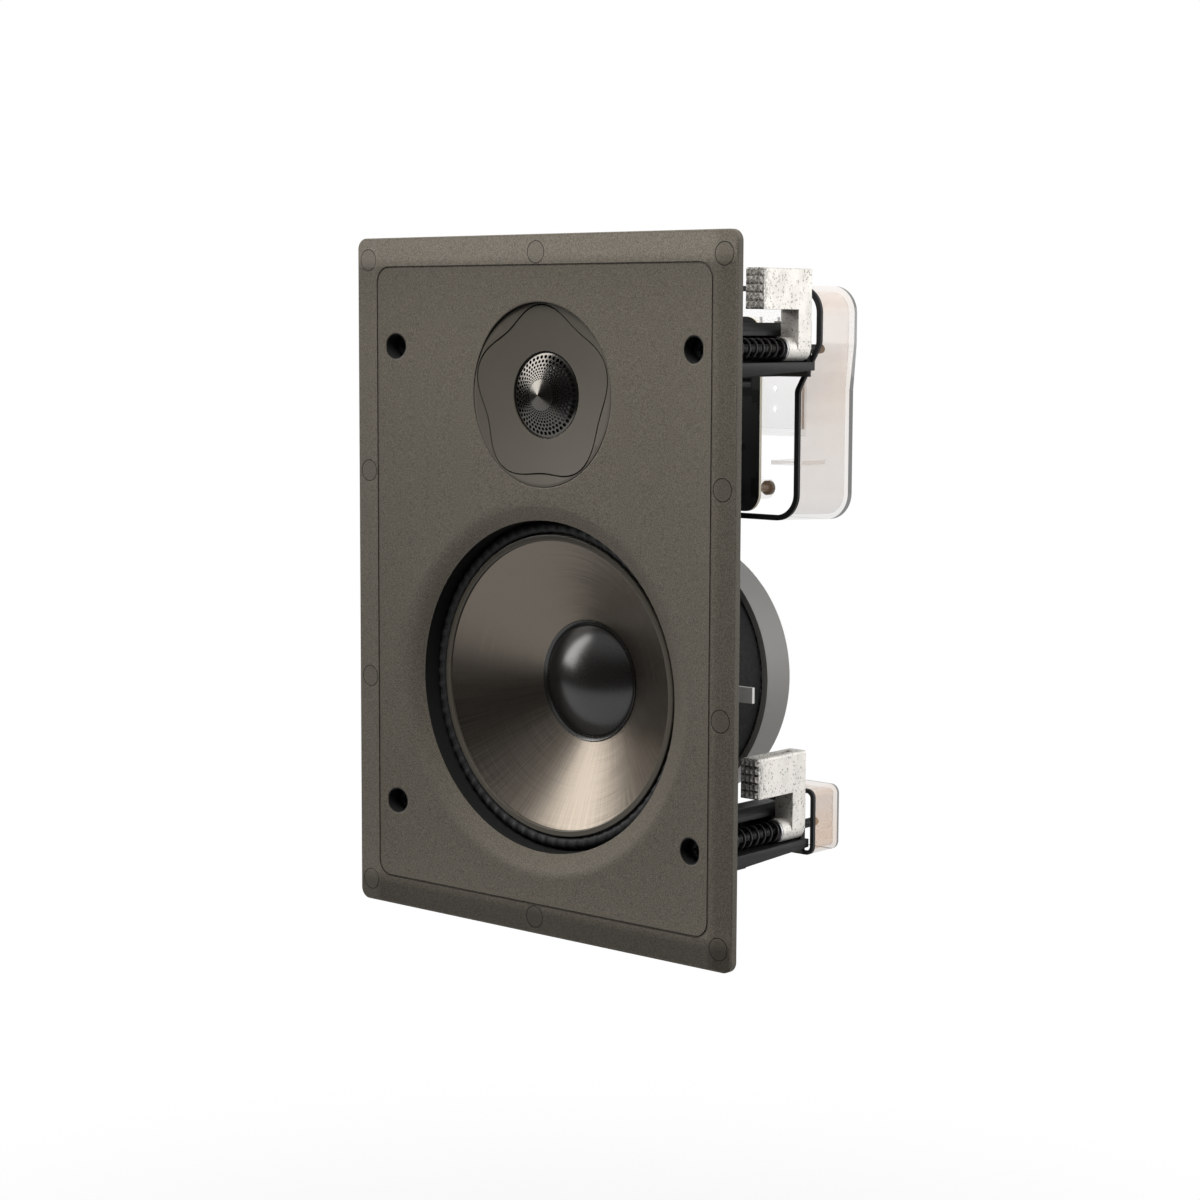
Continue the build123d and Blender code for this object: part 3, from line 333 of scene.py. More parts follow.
class Front(Finish):
    """A finish of the front plate, which knows how far a point is from each feature."""

    def __init__(self, name, **values):
        super().__init__(name, **values)
        self.x, self.y, self.z = self.split(self.place())
        self.facing = self.split(self.make("ShaderNodeNewGeometry", output="True Normal"))[1]
        self.wide = self.x.math("ABSOLUTE")
        self.tall = self.z.math("ABSOLUTE")
        self.side = self.wide - screw_x * MM
        self.rise = self.tall - screw_z * MM
        self.hole = far(self.side, self.rise)
        self.up = self.z - woofer_z * MM
        self.mouth = far(self.x, self.up)
        self.level = self.z - tweeter_z * MM
        self.seat = far(self.x, self.level)

    def painted(self):
        """1 on the front and on its outer edge, and 0 inside the mouth and the screw holes, whose deep faces
        keep the black of the moulding as painted shade.
        """
        hole_shade = self.hole.below(access_radius * MM) * self.y.above(access_y * MM)
        mouth_shade = self.mouth.below(mouth_radius * MM) * self.y.above(mouth_y * MM)
        sides = self.wide.above((edge_x - edge_paint) * MM)
        ends = self.tall.above((edge_z - edge_paint) * MM)
        return self.facing.below(painted_facing).most(sides.most(ends)) * (1.0 - hole_shade.most(mouth_shade))

    def painted_gap_shade(self):
        """1 on the thin gaps round the magnets and round the bezel, which are painted near black as the
        shade in them.
        """
        magnets = [far(self.wide - x * MM, self.tall - z * MM) for x, z in magnet_places]
        nearest = magnets[0]
        for magnet in magnets[1:]:
            nearest = nearest.math("MINIMUM", magnet)
        gaps = thin_ring(nearest, magnet_radius, magnet_line, magnet_line)
        return gaps.most(thin_ring(self.seat, bezel_radius, bezel_line_in, bezel_line_out))

    def shaped(self):
        """The normal, with the dish, the crown, the flare, the lips and the rim on the plate's front."""
        normal = self.normal()
        flare = lean(self.mouth, mouth_radius, flare_radius, flare_slope)
        flare = flare * (flare_share - self.up / self.mouth * flare_change)
        lip = lean(self.hole, lip_start, lip_stop, lip_slope)
        rim = lean(self.seat, rim_start, rim_stop, rim_slope)
        across = self.x.math("SIGN") * (slope(self.wide, groove_x) - self.side * lip)
        across = across - self.x * flare - self.x * rim
        along = self.z.math("SIGN") * (slope(self.tall, groove_z) - self.rise * lip)
        along = along - self.up * flare - self.level * rim
        shape = self.vector("NORMALIZE", self.join(across, -1.0, along))
        inner = self.wide.below((edge_x - edge_round) * MM) * self.tall.below((edge_z - edge_round) * MM)
        front = inner * self.facing.below(front_facing) * self.y.below(front_depth * MM)
        return self.tilted(normal, self.scale(self.vector("SUBTRACT", shape, normal), front))


def painted(name, colour, grain=1800.0):
    """Grained paint on the front of a black moulding, whose panel is dished and whose flange is crowned."""
    finish = Front(name, Specular_IOR_Level=0.2)
    fine = finish.noise(grain * 2.2, 2.0, 0.6)
    sand = finish.noise(grain, 1.0, 0.5)
    speck = (fine * 0.45 + sand * 0.55).between(0.36, 0.64)
    front = finish.painted()
    paint = finish.mix(speck, scaled(colour, 0.68), scaled(colour, 1.32))
    # Painted shade: the thin gaps round the magnets and the bezel are painted near black.
    paint = finish.mix(finish.painted_gap_shade() * 0.8, paint, (0.012, 0.011, 0.01))
    # Near black on the bare moulding off the front, and, as painted shade, on faces deep in the mouth and
    # the screw holes.
    finish.set(Base_Color=finish.mix(front, (0.018, 0.018, 0.018), paint),
               Roughness=front * 0.2 + 0.42 - fine * 0.1,
               Normal=finish.bump(fine, 0.00008, finish.shaped()))
    return finish.material


def smooth_plastic(name, colour, rough=0.35, shine=0.5):
    """Satin or glossy plastic or paint, nearly plain, with faint flow and handling marks."""
    finish = Finish(name, Specular_IOR_Level=shine)
    flow = finish.noise(35.0, 4.0, 0.55)
    marks = finish.noise(420.0, 3.0, 0.7)
    finish.set(Base_Color=finish.mix(flow, scaled(colour, 0.9), colour),
               Roughness=rough + (flow - 0.5) * 0.1 + marks * 0.04, Normal=finish.bump(marks, 0.00001))
    return finish.material


def turned_metal(name, colour, z, rough=0.3, spread=0.4, streak=0.2):
    """Metal turned round an axis: highlights fan out from the centre, and its own fine rays are painted
    stronger on the lower half, as painted sheen where the cone's highlight falls.
    """
    finish = Finish(name, Metallic=1.0)
    x, y, up = finish.split(finish.place())
    up = up - z * MM
    radius = far(x, up)
    angle = up.math("ARCTAN2", x)
    rings = finish.noise(1.0, 3.0, 0.6, finish.join(radius * 5200.0, angle * 1.2, y * 300.0))
    rays = finish.noise(1.0, 2.0, 0.6, finish.join(angle * 70.0, radius * 20.0, 3.0))
    low = (up * -1.0).between(-0.012, 0.03)
    outward = finish.vector("NORMALIZE", finish.join(x, 0.0, up))
    tilt = finish.scale(outward, (rings - 0.5) * spread)
    # The rays are the metal's own streaks; their stronger contrast on the lower half is painted sheen.
    shade = (rays.between(0.25, 0.75) - 0.5) * (low * 0.8 + 0.2) + 0.5
    finish.set(Base_Color=finish.mix(shade, scaled(colour, 1 - streak), scaled(colour, 1 + streak)),
               Roughness=rough + (rays - 0.5) * 0.12, Normal=finish.tilted(finish.normal(), tilt))
    return finish.material


def cast_metal(name, colour, jaw_start=4.0, jaw_stop=8.5):
    """Blasted die casting: pale, matt and pitted, with darker specks, and a rough jaw whose dense dark pits
    are partly the casting's own and partly painted shade among the teeth.
    """
    finish = Finish(name, Metallic=0.6)
    _, y, _ = finish.split(finish.place())
    jaw_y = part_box("clamp_arm_upper_right")[0].y
    ragged = y + finish.noise(150.0, 2.0) * 0.006
    jaw_pits_and_shade = 1.0 - ragged.between(jaw_y + jaw_start * MM, jaw_y + jaw_stop * MM)
    pits = finish.noise(900.0, 3.0, 0.65)
    specks = finish.noise(1000.0, 1.0, 0.4)
    cloud = finish.noise(110.0, 3.0, 0.6).between(0.32, 0.68)
    body = finish.mix(cloud, scaled(colour, 0.9), scaled(colour, 1.05))
    # Dark pits on the jaw: the casting's own pitting, darkened further as painted shade among the teeth.
    body = finish.mix(jaw_pits_and_shade * pits.between(0.35, 0.6) * 0.85, body, scaled(colour, 0.2))
    dirt = (specks - cloud * 0.06).between(0.585, 0.65)
    finish.set(Base_Color=finish.mix(dirt * 0.7, body, scaled(colour, 0.3)),
               Roughness=0.42 + pits * 0.25, Normal=finish.bump(pits, 0.00014))
    return finish.material


def plain_metal(name, colour, rough=0.3, metallic=1.0):
    """Plain, plated or painted metal with faint scratches and worn edges."""
    finish = Finish(name, Metallic=metallic)
    scratches = finish.noise(500.0, 4.0, 0.7)
    worn = finish.make("ShaderNodeNewGeometry", output="Pointiness").between(0.52, 0.6)
    bright = tuple(min(1.0, c * 1.6 + 0.05) for c in colour)
    finish.set(Base_Color=finish.mix(worn * 0.5 + scratches.between(0.62, 0.8) * 0.2, colour, bright),
               Roughness=rough + (scratches - 0.5) * 0.2, Normal=finish.bump(scratches, 0.00002))
    return finish.material


def black_steel(name):
    """Blackened wire and screws: dark, with thin oily highlights."""
    finish = Finish(name, Metallic=0.6)
    film = finish.noise(700.0, 3.0, 0.6)
    finish.set(Base_Color=finish.mix(film, (0.012, 0.012, 0.012), (0.04, 0.038, 0.036)),
               Roughness=0.24 + film * 0.2, Normal=finish.bump(film, 0.00002))
    return finish.material


def rubber(name, colour=(0.012, 0.012, 0.0125)):
    """Matt black rubber or foam."""
    finish = Finish(name, Specular_IOR_Level=0.35)
    dust = finish.noise(800.0, 3.0, 0.6)
    finish.set(Base_Color=finish.mix(dust, colour, scaled(colour, 2.2)), Roughness=0.55 + dust * 0.15,
               Normal=finish.bump(dust, 0.00004))
    return finish.material


def smoky_plastic(name, colour=(0.56, 0.35, 0.2), tint=0.21, cap_tint=0.16, rim=1.7):
    """Clear plastic with a light smoky tint on its outer faces, in bands of painted reflection, and painted
    shade near the back of its walls, where the rear wall is seen edge-on.
    """
    finish = Finish(name, IOR=1.49)
    x, y, z = finish.split(finish.place())
    nx, ny, nz = finish.split(finish.normal())
    tub = middle_of("rear_tub") * MM
    tail = middle_of("tail_cap_right") * MM
    tub_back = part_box("rear_tub")[1].y
    tail_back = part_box("tail_cap_right")[1].y
    cap = z.below(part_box("rear_tub")[0].z)
    across = x - x.math("SIGN") * cap * tail.x
    deep = y - cap * (tail.y - tub.y) - tub.y
    tall = z - cap * (tail.z - tub.z) - tub.z
    outer = (nx * across + ny * deep + nz * tall).above(0.0)
    wave = finish.noise(22.0, 2.0)
    # Painted reflection: bands of denser and lighter tint across the walls stand for the room's reflections.
    streak = finish.noise(1.0, 2.0, 0.5, finish.join(0.0, y * 6.0, z * 38.0)).between(0.3, 0.7)
    # Painted shade: a near-black band on the walls near the back, where the rear wall is seen edge-on.
    painted_edge_shade = (y - cap * (tail_back - tub_back)).above(tub_back - rim * MM) * ny.math("ABSOLUTE").below(0.7)
    tint_and_reflection = finish.mix(streak, scaled(colour, 0.8), scaled(colour, 1.2))
    finish.set(Base_Color=finish.mix(painted_edge_shade, tint_and_reflection, (0.02, 0.018, 0.016)),
               Alpha=((streak * 0.12 + tint + cap * cap_tint) * outer).most(painted_edge_shade * 0.8),
               Roughness=0.06 + wave * 0.06, Normal=finish.bump(wave, 0.0002))
    return finish.material


def frosted_plastic(name, colour):
    """Thin white sheet that lets light through."""
    finish = Finish(name, Transmission_Weight=0.6, IOR=1.2, Specular_IOR_Level=0.3)
    haze = finish.noise(60.0, 2.0)
    finish.set(Base_Color=finish.mix(haze, scaled(colour, 0.95), colour), Alpha=haze * 0.1 + 0.2,
               Roughness=0.5 + haze * 0.1)
    return finish.material


def laminate(name):
    """Black circuit board: dark faces with raised tracks, and a pale cut edge."""
    finish = Finish(name)
    x, _, z = finish.split(finish.place())
    face = finish.split(finish.normal())[1].math("ABSOLUTE").above(0.6)
    squares = finish.join(x.math("SNAP", 0.003), z.math("SNAP", 0.003), 0.0)
    tracks = finish.noise(60.0, 0.0, at=squares).above(0.52)
    fibre = finish.noise(900.0, 2.0)
    body = finish.mix(tracks * 0.6 + fibre * 0.2, (0.008, 0.008, 0.008), (0.03, 0.032, 0.03))
    finish.set(Base_Color=finish.mix(face, (0.60, 0.55, 0.44), body), Roughness=0.42 + fibre * 0.2,
               Normal=finish.bump(tracks, 0.00003))
    return finish.material


def copper_wire(name, pitch=0.0009):
    """Enamelled copper, wound in close turns."""
    finish = Finish(name, Metallic=1.0)
    _, y, _ = finish.split(finish.place())
    turns = (y * (2 * math.pi / pitch)).math("SINE")
    tone = finish.noise(120.0, 2.0)
    finish.set(Base_Color=finish.mix(tone, (0.42, 0.14, 0.05), (0.62, 0.26, 0.10)),
               Roughness=0.28 + tone * 0.15, Normal=finish.bump(turns, 0.0002))
    return finish.material


def woven(name, colour, pitch=0.0011):
    """Resin-stiffened cloth with a plain weave."""
    finish = Finish(name, Specular_IOR_Level=0.3)
    x, _, z = finish.split(finish.place())
    warp = (x * (2 * math.pi / pitch)).math("SINE")
    weft = (z * (2 * math.pi / pitch)).math("SINE")
    weave = (warp * weft) * 0.5 + 0.5
    finish.set(Base_Color=finish.mix(weave, scaled(colour, 0.45), colour), Roughness=0.7 + weave * 0.1,
               Normal=finish.bump(weave, 0.00012))
    return finish.material


def strip_finish(name, connector_x=0.056):
    """Phenolic strip whose outer end carries white connectors."""
    finish = Finish(name)
    x, _, _ = finish.split(finish.place())
    grain = finish.noise(700.0, 3.0)
    brown = finish.mix(grain, (0.05, 0.025, 0.012), (0.09, 0.045, 0.02))
    finish.set(Base_Color=finish.mix(x.above(connector_x), brown, (0.82, 0.81, 0.79)),
               Roughness=0.45 + grain * 0.15, Normal=finish.bump(grain, 0.00003))
    return finish.material


TAUPE = (0.111, 0.099, 0.081)
FINISHES = {
    "baffle": painted("baffle_paint", TAUPE),
    "magnet_steel": painted("magnet_paint", scaled(TAUPE, 0.93), grain=2000.0),
    "bezel": smooth_plastic("bezel_plastic", (0.087, 0.079, 0.065), rough=0.5, shine=0.25),
    "lens_metal": turned_metal("lens_metal", (0.13, 0.123, 0.113), tweeter_z, rough=0.2, spread=0.06,
                               streak=0.1),
    "dome_metal": plain_metal("dome_metal", (0.2, 0.2, 0.2)),
    "surround_rubber": rubber("surround_rubber"),
    "copper": copper_wire("copper_wire"),
    "plated_steel": plain_metal("plated_steel", (0.42, 0.42, 0.43), rough=0.32),
    "ferrite": moulded("ferrite", (0.012, 0.012, 0.0125), grain=500.0, depth=0.00005, rough=0.7, shine=0.15),
    "black_plastic": moulded("black_plastic", (0.016, 0.016, 0.016), grain=900.0, depth=0.00004, rough=0.45),
    "foam": rubber("foam"),
    "basket_metal": plain_metal("basket_paint", (0.016, 0.016, 0.017), rough=0.45, metallic=0.2),
    "screw_steel": black_steel("screw_steel"),
    "trim": smooth_plastic("trim_plastic", (0.078, 0.069, 0.055), rough=0.3),
    "cone_metal": turned_metal("cone_metal", (0.195, 0.169, 0.141), woofer_z, rough=0.32, spread=0.44,
                               streak=0.16),
    "cap_plastic": smooth_plastic("cap_plastic", (0.007, 0.0064, 0.0055), rough=0.24, shine=0.95),
    "former_metal": plain_metal("former_metal", (0.5, 0.5, 0.5), rough=0.35),
    "spider_cloth": woven("spider_cloth", (0.42, 0.27, 0.09)),
    "motor_cover": smooth_plastic("motor_cover", (0.25, 0.243, 0.232), rough=0.42),
    "phenolic": strip_finish("terminal_strip"),
    "smoky_plastic": smoky_plastic("smoky_plastic"),
    "white_plastic": frosted_plastic("white_plastic", (0.94, 0.93, 0.92)),
    "board": laminate("board_laminate"),
    "capacitor_film": smooth_plastic("capacitor_film", (0.42, 0.09, 0.025), rough=0.3),
    "cement": moulded("resistor_cement", (0.66, 0.64, 0.58), grain=600.0, rough=0.75),
    "red_plastic": smooth_plastic("red_plastic", (0.42, 0.012, 0.012), rough=0.3),
    "button_black": smooth_plastic("button_black", (0.015, 0.015, 0.015), rough=0.3),
    "cast_arm": cast_metal("cast_arm", (0.77, 0.742, 0.70)),
    "spring_steel": black_steel("spring_steel"),
}

record = frame["record"]
slot_of = {entry["node"]: entry["material_slot"] for entry in record["subparts"]}
body_of = {node: body for body, members in record["behaviour"]["bodies"].items() for node in members}


def dress(piece, slot):
    """Gives a piece the one finish of a slot."""
    piece.data.materials.clear()
    piece.data.materials.append(FINISHES[slot])


def stands_for(piece, node, ride=True):
    """Lets a piece take the place, finish and body of a node."""
    dress(piece, slot_of[node])
    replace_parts(piece, node)
    if ride:
        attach(piece, body_of[node])
    return piece


class Edit:
    """Opens a mesh in bmesh for a with block, and writes it back after the block."""

    def __init__(self, mesh):
        self.mesh = mesh
        self.tool = bmesh.new()

    def __enter__(self):
        self.tool.from_mesh(self.mesh)
        return self.tool

    def __exit__(self, *_):
        self.tool.to_mesh(self.mesh)
        self.tool.free()


def band(first, second):
    """Faces between two closed loops, each a row of point numbers."""
    following = [*range(1, len(first)), 0]
    return [(first[i], first[j], second[j], second[i]) for i, j in enumerate(following)]


def bands(loops):
    """Faces between each closed loop and the next."""
    return [face for first, second in zip(loops, loops[1:]) for face in band(first, second)]


def turned_faces(steps, count):
    """Faces between the copies of a closed outline that stand all round an axis."""
    loops = [range(i * count, (i + 1) * count) for i in range(steps)]
    return bands(loops + loops[:1])


def new_piece(name, points, faces):
    """Mesh from points in millimetres and faces."""
    mesh = bpy.data.meshes.new(name)
    mesh.from_pydata([tuple(c * MM for c in p) for p in points], [], faces)
    mesh.validate()
    with Edit(mesh) as tool:
        bmesh.ops.recalc_face_normals(tool, faces=tool.faces)
    piece = bpy.data.objects.new(name, mesh)
    bpy.context.scene.collection.objects.link(piece)
    return piece


def crease(piece, degrees):
    """Shades a piece smooth, and keeps edges sharper than an angle crisp."""
    mesh = piece.data
    mesh.polygons.foreach_set("use_smooth", [True] * len(mesh.polygons))
    mesh.set_sharp_from_angle(angle=math.radians(degrees))


def lathe(name, outline, z, steps=256, sharp=30.0):
    """Piece turned about the front-to-back axis at height z, from a closed outline of (radius, y)."""
    points = []
    for i in range(steps):
        angle = 2 * math.pi * i / steps
        points += [(r * math.cos(angle), y, z + r * math.sin(angle)) for r, y in outline]
    piece = new_piece(name, points, turned_faces(steps, len(outline)))
    with Edit(piece.data) as tool:
        bmesh.ops.remove_doubles(tool, verts=tool.verts, dist=1e-7)
        bmesh.ops.recalc_face_normals(tool, faces=tool.faces)
    crease(piece, sharp)
    return piece


def arc(centre, radius, start, end, steps):
    """Points on an arc of (radius, y) pairs, angles in degrees."""
    angles = [math.radians(start + (end - start) * i / steps) for i in range(steps + 1)]
    return [(centre[0] + radius * math.cos(a), centre[1] + radius * math.sin(a)) for a in angles]


def flatten_plate(mesh):
    """Flat-shades the plate's front, whose finish bends the light itself, and its back."""
    for face in mesh.polygons:
        middle = face.center / MM
        inner = abs(middle.x) < edge_x - edge_round and abs(middle.z) < edge_z - edge_round
        front = inner and face.normal.y < front_facing and middle.y < front_depth
        face.use_smooth = not front and face.normal.y < back_facing


def smoothed(node, bevel, same_place=2e-6, flat_degrees=1.0, crisp_degrees=32.0, bevel_degrees=40.0):
    """Copy of a node's mesh, smooth where it curves, with crisp edges or, where asked, rounded ones."""
    source = frame["nodes"][node]
    piece = bpy.data.objects.new(f"{node}_finished", source.data.copy())
    bpy.context.scene.collection.objects.link(piece)
    with Edit(piece.data) as tool:
        bmesh.ops.remove_doubles(tool, verts=tool.verts, dist=same_place)
        if bevel:
            bmesh.ops.dissolve_limit(tool, angle_limit=math.radians(flat_degrees), verts=tool.verts,
                                     edges=tool.edges)
    crease(piece, crisp_degrees)
    if slot_of[node] in ("baffle", "magnet_steel"):
        flatten_plate(piece.data)
    if bevel:
        rounding = piece.modifiers.new("rounding", "BEVEL")
        rounding.width = bevel * MM
        rounding.segments = 2
        rounding.limit_method = "ANGLE"
        rounding.angle_limit = math.radians(bevel_degrees)
    weighted = piece.modifiers.new("flat_faces", "WEIGHTED_NORMAL")
    weighted.keep_sharp = True
    weighted.weight = 100
    return stands_for(piece, node)


# Woofer's moving face
cone_wall = 1.0
cone_mouth = 64.6
cone_rim = 67.5
cone_neck = 16.05
cone_top_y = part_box("woofer_cone")[0].y / MM
cone_deep_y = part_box("woofer_cone")[1].y / MM - cone_wall


def cone_y(radius):
    """Depth of the cone's face at a radius."""
    return cone_top_y + (cone_mouth - radius) / (cone_mouth - cone_neck) * (cone_deep_y - cone_top_y)


def make_cone():
    """Shallow metal cone with a rolled edge under its trim ring."""
    gap = 0.2
    hem = 0.4
    face = [(cone_rim - gap, cone_top_y), (cone_mouth + hem, cone_top_y)]
    face += [(r, cone_y(r)) for r in (cone_mouth, 60.0, 50.0, 40.0, 30.0, 22.0, cone_neck)]
    back = [(r, y + cone_wall) for r, y in reversed(face)]
    return stands_for(lathe("cone_shell", face + back, woofer_z), "woofer_cone")


def make_trim_ring():
    """Satin ring round the cone's edge, with a soft front and a fine inner lip."""
    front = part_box("cone_trim_ring")[0].y / MM
    soft = 0.55
    outline = [(cone_mouth, cone_top_y), (cone_mouth, front + soft)]
    outline += arc((cone_mouth + soft, front + soft), soft, 180, 270, 4)
    outline += arc((cone_rim - soft, front + soft), soft, 270, 360, 4)
    outline += [(cone_rim, cone_top_y)]
    return stands_for(lathe("trim_ring", outline, woofer_z, sharp=50.0), "cone_trim_ring")


def make_dust_cap():
    """Domed cap on the cone, with a glued skirt and a fine step round it."""
    ring = size_of("dust_cap").x / 2
    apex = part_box("dust_cap")[0].y / MM
    skirt = 2.1
    wall = 0.7
    glue = 0.05
    fold_out = 0.25
    fold_back = 0.35
    fold_end = 0.7
    soft = 0.2
    steps = 24
    cap = ring - skirt
    edge = cone_y(cap) - wall - glue
    height = edge - apex
    sphere = (cap * cap + height * height) / (2 * height)

    def dome(rim, radius):
        """Points from the middle of a dome to its rim."""
        radii = [rim * i / steps for i in range(steps + 1)]
        return [(r, apex + sphere - math.sqrt(radius * radius - r * r)) for r in radii]

    outline = dome(cap, sphere)
    outline.append((cap + fold_out, edge + fold_back))
    outline += [(r, cone_y(r) - wall) for r in (cap + fold_end, ring - soft)]
    outline.append((ring, cone_y(ring) - wall / 2))
    outline += [(r, cone_y(r) - glue) for r in (ring, cap - wall)]
    outline += reversed(dome(cap - wall, sphere - wall))
    return stands_for(lathe("domed_cap", outline, woofer_z, sharp=40.0), "dust_cap")


def make_surround():
    """Rubber half roll with radial corrugations, from the cone's edge to the basket's rim."""
    low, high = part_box("woofer_surround")
    inner = 65.6
    outer = 79.0
    wall = 0.9
    start = cone_rim + 0.4
    end = 73.0
    middle = (start + end) / 2
    roll = (end - start) / 2
    root_y = cone_top_y + cone_wall
    rim_y = high.y / MM - wall
    rise = root_y - low.y / MM - roll
    dip = 0.6
    fullness = 0.6
    waves = 72
    steps, across = 720, 14

    def half_roll(radius):
        """Points over the roll, each with its share of the corrugation."""
        angles = [math.pi * (1 - i / across) for i in range(1, across)]
        return [(middle + radius * math.cos(a), root_y - radius * math.sin(a), math.sin(a)) for a in angles]

    outline = [(inner, root_y, 0.0), (start, root_y, 0.0)]
    outline += half_roll(roll)
    outline += [(end, root_y, 0.0), (end, rim_y, 0.0), (outer, rim_y, 0.0)]
    outline += [(outer, rim_y + wall, 0.0), (end - wall, rim_y + wall, 0.0), (end - wall, root_y, 0.0)]
    outline += reversed(half_roll(roll - wall))
    outline += [(start + wall, root_y, 0.0), (start + wall, root_y + wall, 0.0), (inner, root_y + wall, 0.0)]
    points = []
    for i in range(steps):
        angle = 2 * math.pi * i / steps
        ridge = max(0.0, math.cos(waves * angle)) ** fullness
        lift = rise * (ridge * (1 + dip) - dip)
        for r, y, share in outline:
            points.append((r * math.cos(angle), y - lift * share, woofer_z + r * math.sin(angle)))
    piece = new_piece("corrugated_surround", points, turned_faces(steps, len(outline)))
    crease(piece, 60.0)
    stands_for(piece, "woofer_surround", ride=False)
    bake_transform(piece)
    return piece


def make_spider():
    """Corrugated cloth disc that centres the voice coil."""
    low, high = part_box("woofer_spider")
    inner = 16.1
    start = 18.5
    end = 44.0
    outer = 50.0
    wall = 0.6
    waves = 5
    steps = 60
    centre_y = (low.y + high.y) / 2 / MM - wall / 2
    lift = (high.y - low.y) / 2 / MM - wall / 2
    front = [(inner, centre_y)]
    for i in range(steps + 1):
        r = start + (end - start) * i / steps
        front.append((r, centre_y - lift * math.sin(2 * math.pi * waves * i / steps)))
    front.append((outer, centre_y))
    outline = front + [(r, y + wall) for r, y in reversed(front)]
    return stands_for(lathe("corrugated_spider", outline, woofer_z, steps=192), "woofer_spider")


# Tweeter's perforated lens
def cell_border(inner, outer, turn, half):
    """Radii and angles of sixteen points round a cell, which reaches by half to each side of turn."""
    corners = [(inner, turn - half), (inner, turn + half), (outer, turn + half), (outer, turn - half)]
    border = []
    for (r, angle), (next_r, next_angle) in zip(corners, corners[1:] + corners[:1]):
        border += [(r + (next_r - r) * i / 4, angle + (next_angle - angle) * i / 4) for i in range(4)]
    return border


def make_lens():
    """Spun cone with rows of round holes that shrink towards its solid tip."""
    low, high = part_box("tweeter_lens")
    apex_y = low.y / MM
    rim = 17.8
    rim_y = 4.2
    flange = 20.4
    flange_wall = 0.7
    flange_y = high.y / MM - flange_wall
    thickness = 0.6
    rows, cells = 8, 44
    coarse, fine = 2 * cells, 4 * cells
    first_row = 0.985
    shrink = 0.885
    hole_share = 0.41
    points, faces = [], []

    def add(radius, angle, y=None):
        """Adds a point on the cone's face, or at another depth, and gives its number."""
        if y is None:
            y = apex_y + (rim_y - apex_y) / rim * radius
        points.append((radius * math.cos(angle), y, tweeter_z + radius * math.sin(angle)))
        return len(points) - 1

    def circle(radius, count, y=None):
        """Adds a circle of points and gives their numbers."""
        return [add(radius, 2 * math.pi * i / count, y) for i in range(count)]

    edges = [rim * first_row * shrink ** i for i in range(rows + 1)]
    for row, (outer, inner) in enumerate(zip(edges, edges[1:])):
        centre = (outer + inner) / 2
        hole = (outer - inner) * hole_share
        for cell in range(cells):
            turn = 2 * math.pi * (cell + 0.5 * (row % 2)) / cells
            border = cell_border(inner, outer, turn, math.pi / cells)
            ways = [math.atan2((angle - turn) * centre, r - centre) for r, angle in border]
            outside = [add(r, angle) for r, angle in border]
            inside = [add(centre + hole * math.cos(way), turn + hole * math.sin(way) / centre)
                      for way in ways]
            faces += band(outside, inside)

    tip = [circle(edges[rows] * share, coarse) for share in (1.0, 0.7, 0.4, 0.15, 0.04)]
    seam = circle(edges[rows], fine)
    apex = add(0.0, 0.0)
    faces += bands(tip)
    for i in range(coarse):
        j = (i + 1) % coarse
        faces.append((tip[-1][i], tip[-1][j], apex))
        faces.append((tip[0][i], seam[2 * i + 1], tip[0][j]))
    faces += bands([circle(edges[0], fine), circle(rim, fine, rim_y), circle(rim, fine, flange_y),
                    circle(flange, fine, flange_y)])

    piece = new_piece("perforated_lens", points, faces)
    with Edit(piece.data) as tool:
        bmesh.ops.remove_doubles(tool, verts=tool.verts, dist=3e-6)
        bmesh.ops.recalc_face_normals(tool, faces=tool.faces)
        for edge in tool.edges:
            edge.smooth = len(edge.link_faces) == 2 and edge.calc_face_angle() < math.radians(40)
        for face in tool.faces:
            face.smooth = True
    shell = piece.modifiers.new("thickness", "SOLIDIFY")
    shell.thickness = thickness * MM
    shell.offset = -1.0
    shell.use_even_offset = False
    return stands_for(piece, "tweeter_lens")


# Clamps
def make_spring(side):
    """Round-wire coil spring between the screw's seat and the washer."""
    node = f"clamp_spring_{side}"
    low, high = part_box(node)
    centre = middle_of(node)
    wire = 0.6
    turns = 11
    closed = 0.85
    closeness = 0.6
    closed_pitch = 2 * wire * closeness
    lead = closed_pitch * closed
    radius = size_of(node).x / 2 - wire
    start = low.y / MM + wire
    end = high.y / MM - wire
    around, along = 10, 28
    steps = turns * along
    points = []

    def height(turn):
        """Place along the spring, whose first and last turns lie closer."""
        if turn < closed:
            return start + closed_pitch * turn
        if turn > turns - closed:
            return end - closed_pitch * (turns - turn)
        return start + lead + (turn - closed) / (turns - 2 * closed) * (end - start - 2 * lead)

    for i in range(steps + 1):
        turn = i / steps * turns
        angle = 2 * math.pi * turn
        y = height(turn)
        for k in range(around):
            way = 2 * math.pi * k / around
            r = radius + wire * math.cos(way)
            points.append((centre.x + r * math.cos(angle), y + wire * math.sin(way),
                           centre.z + r * math.sin(angle)))
    loops = [range(i * around, (i + 1) * around) for i in range(steps + 1)]
    faces = bands(loops)
    faces.append(tuple(loops[0]))
    faces.append(tuple(reversed(loops[-1])))
    piece = new_piece(f"coil_spring_{side}", points, faces)
    crease(piece, 60.0)
    stands_for(piece, node)
    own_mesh(piece)
    return piece


def cross_corners(reach, arm):
    """The twelve corners of a cross, in order round it."""
    corners = []
    quarter = [(reach, arm), (arm, arm), (arm, reach)]
    for _ in range(4):
        corners += quarter
        quarter = [(-z, x) for x, z in quarter]
    return corners


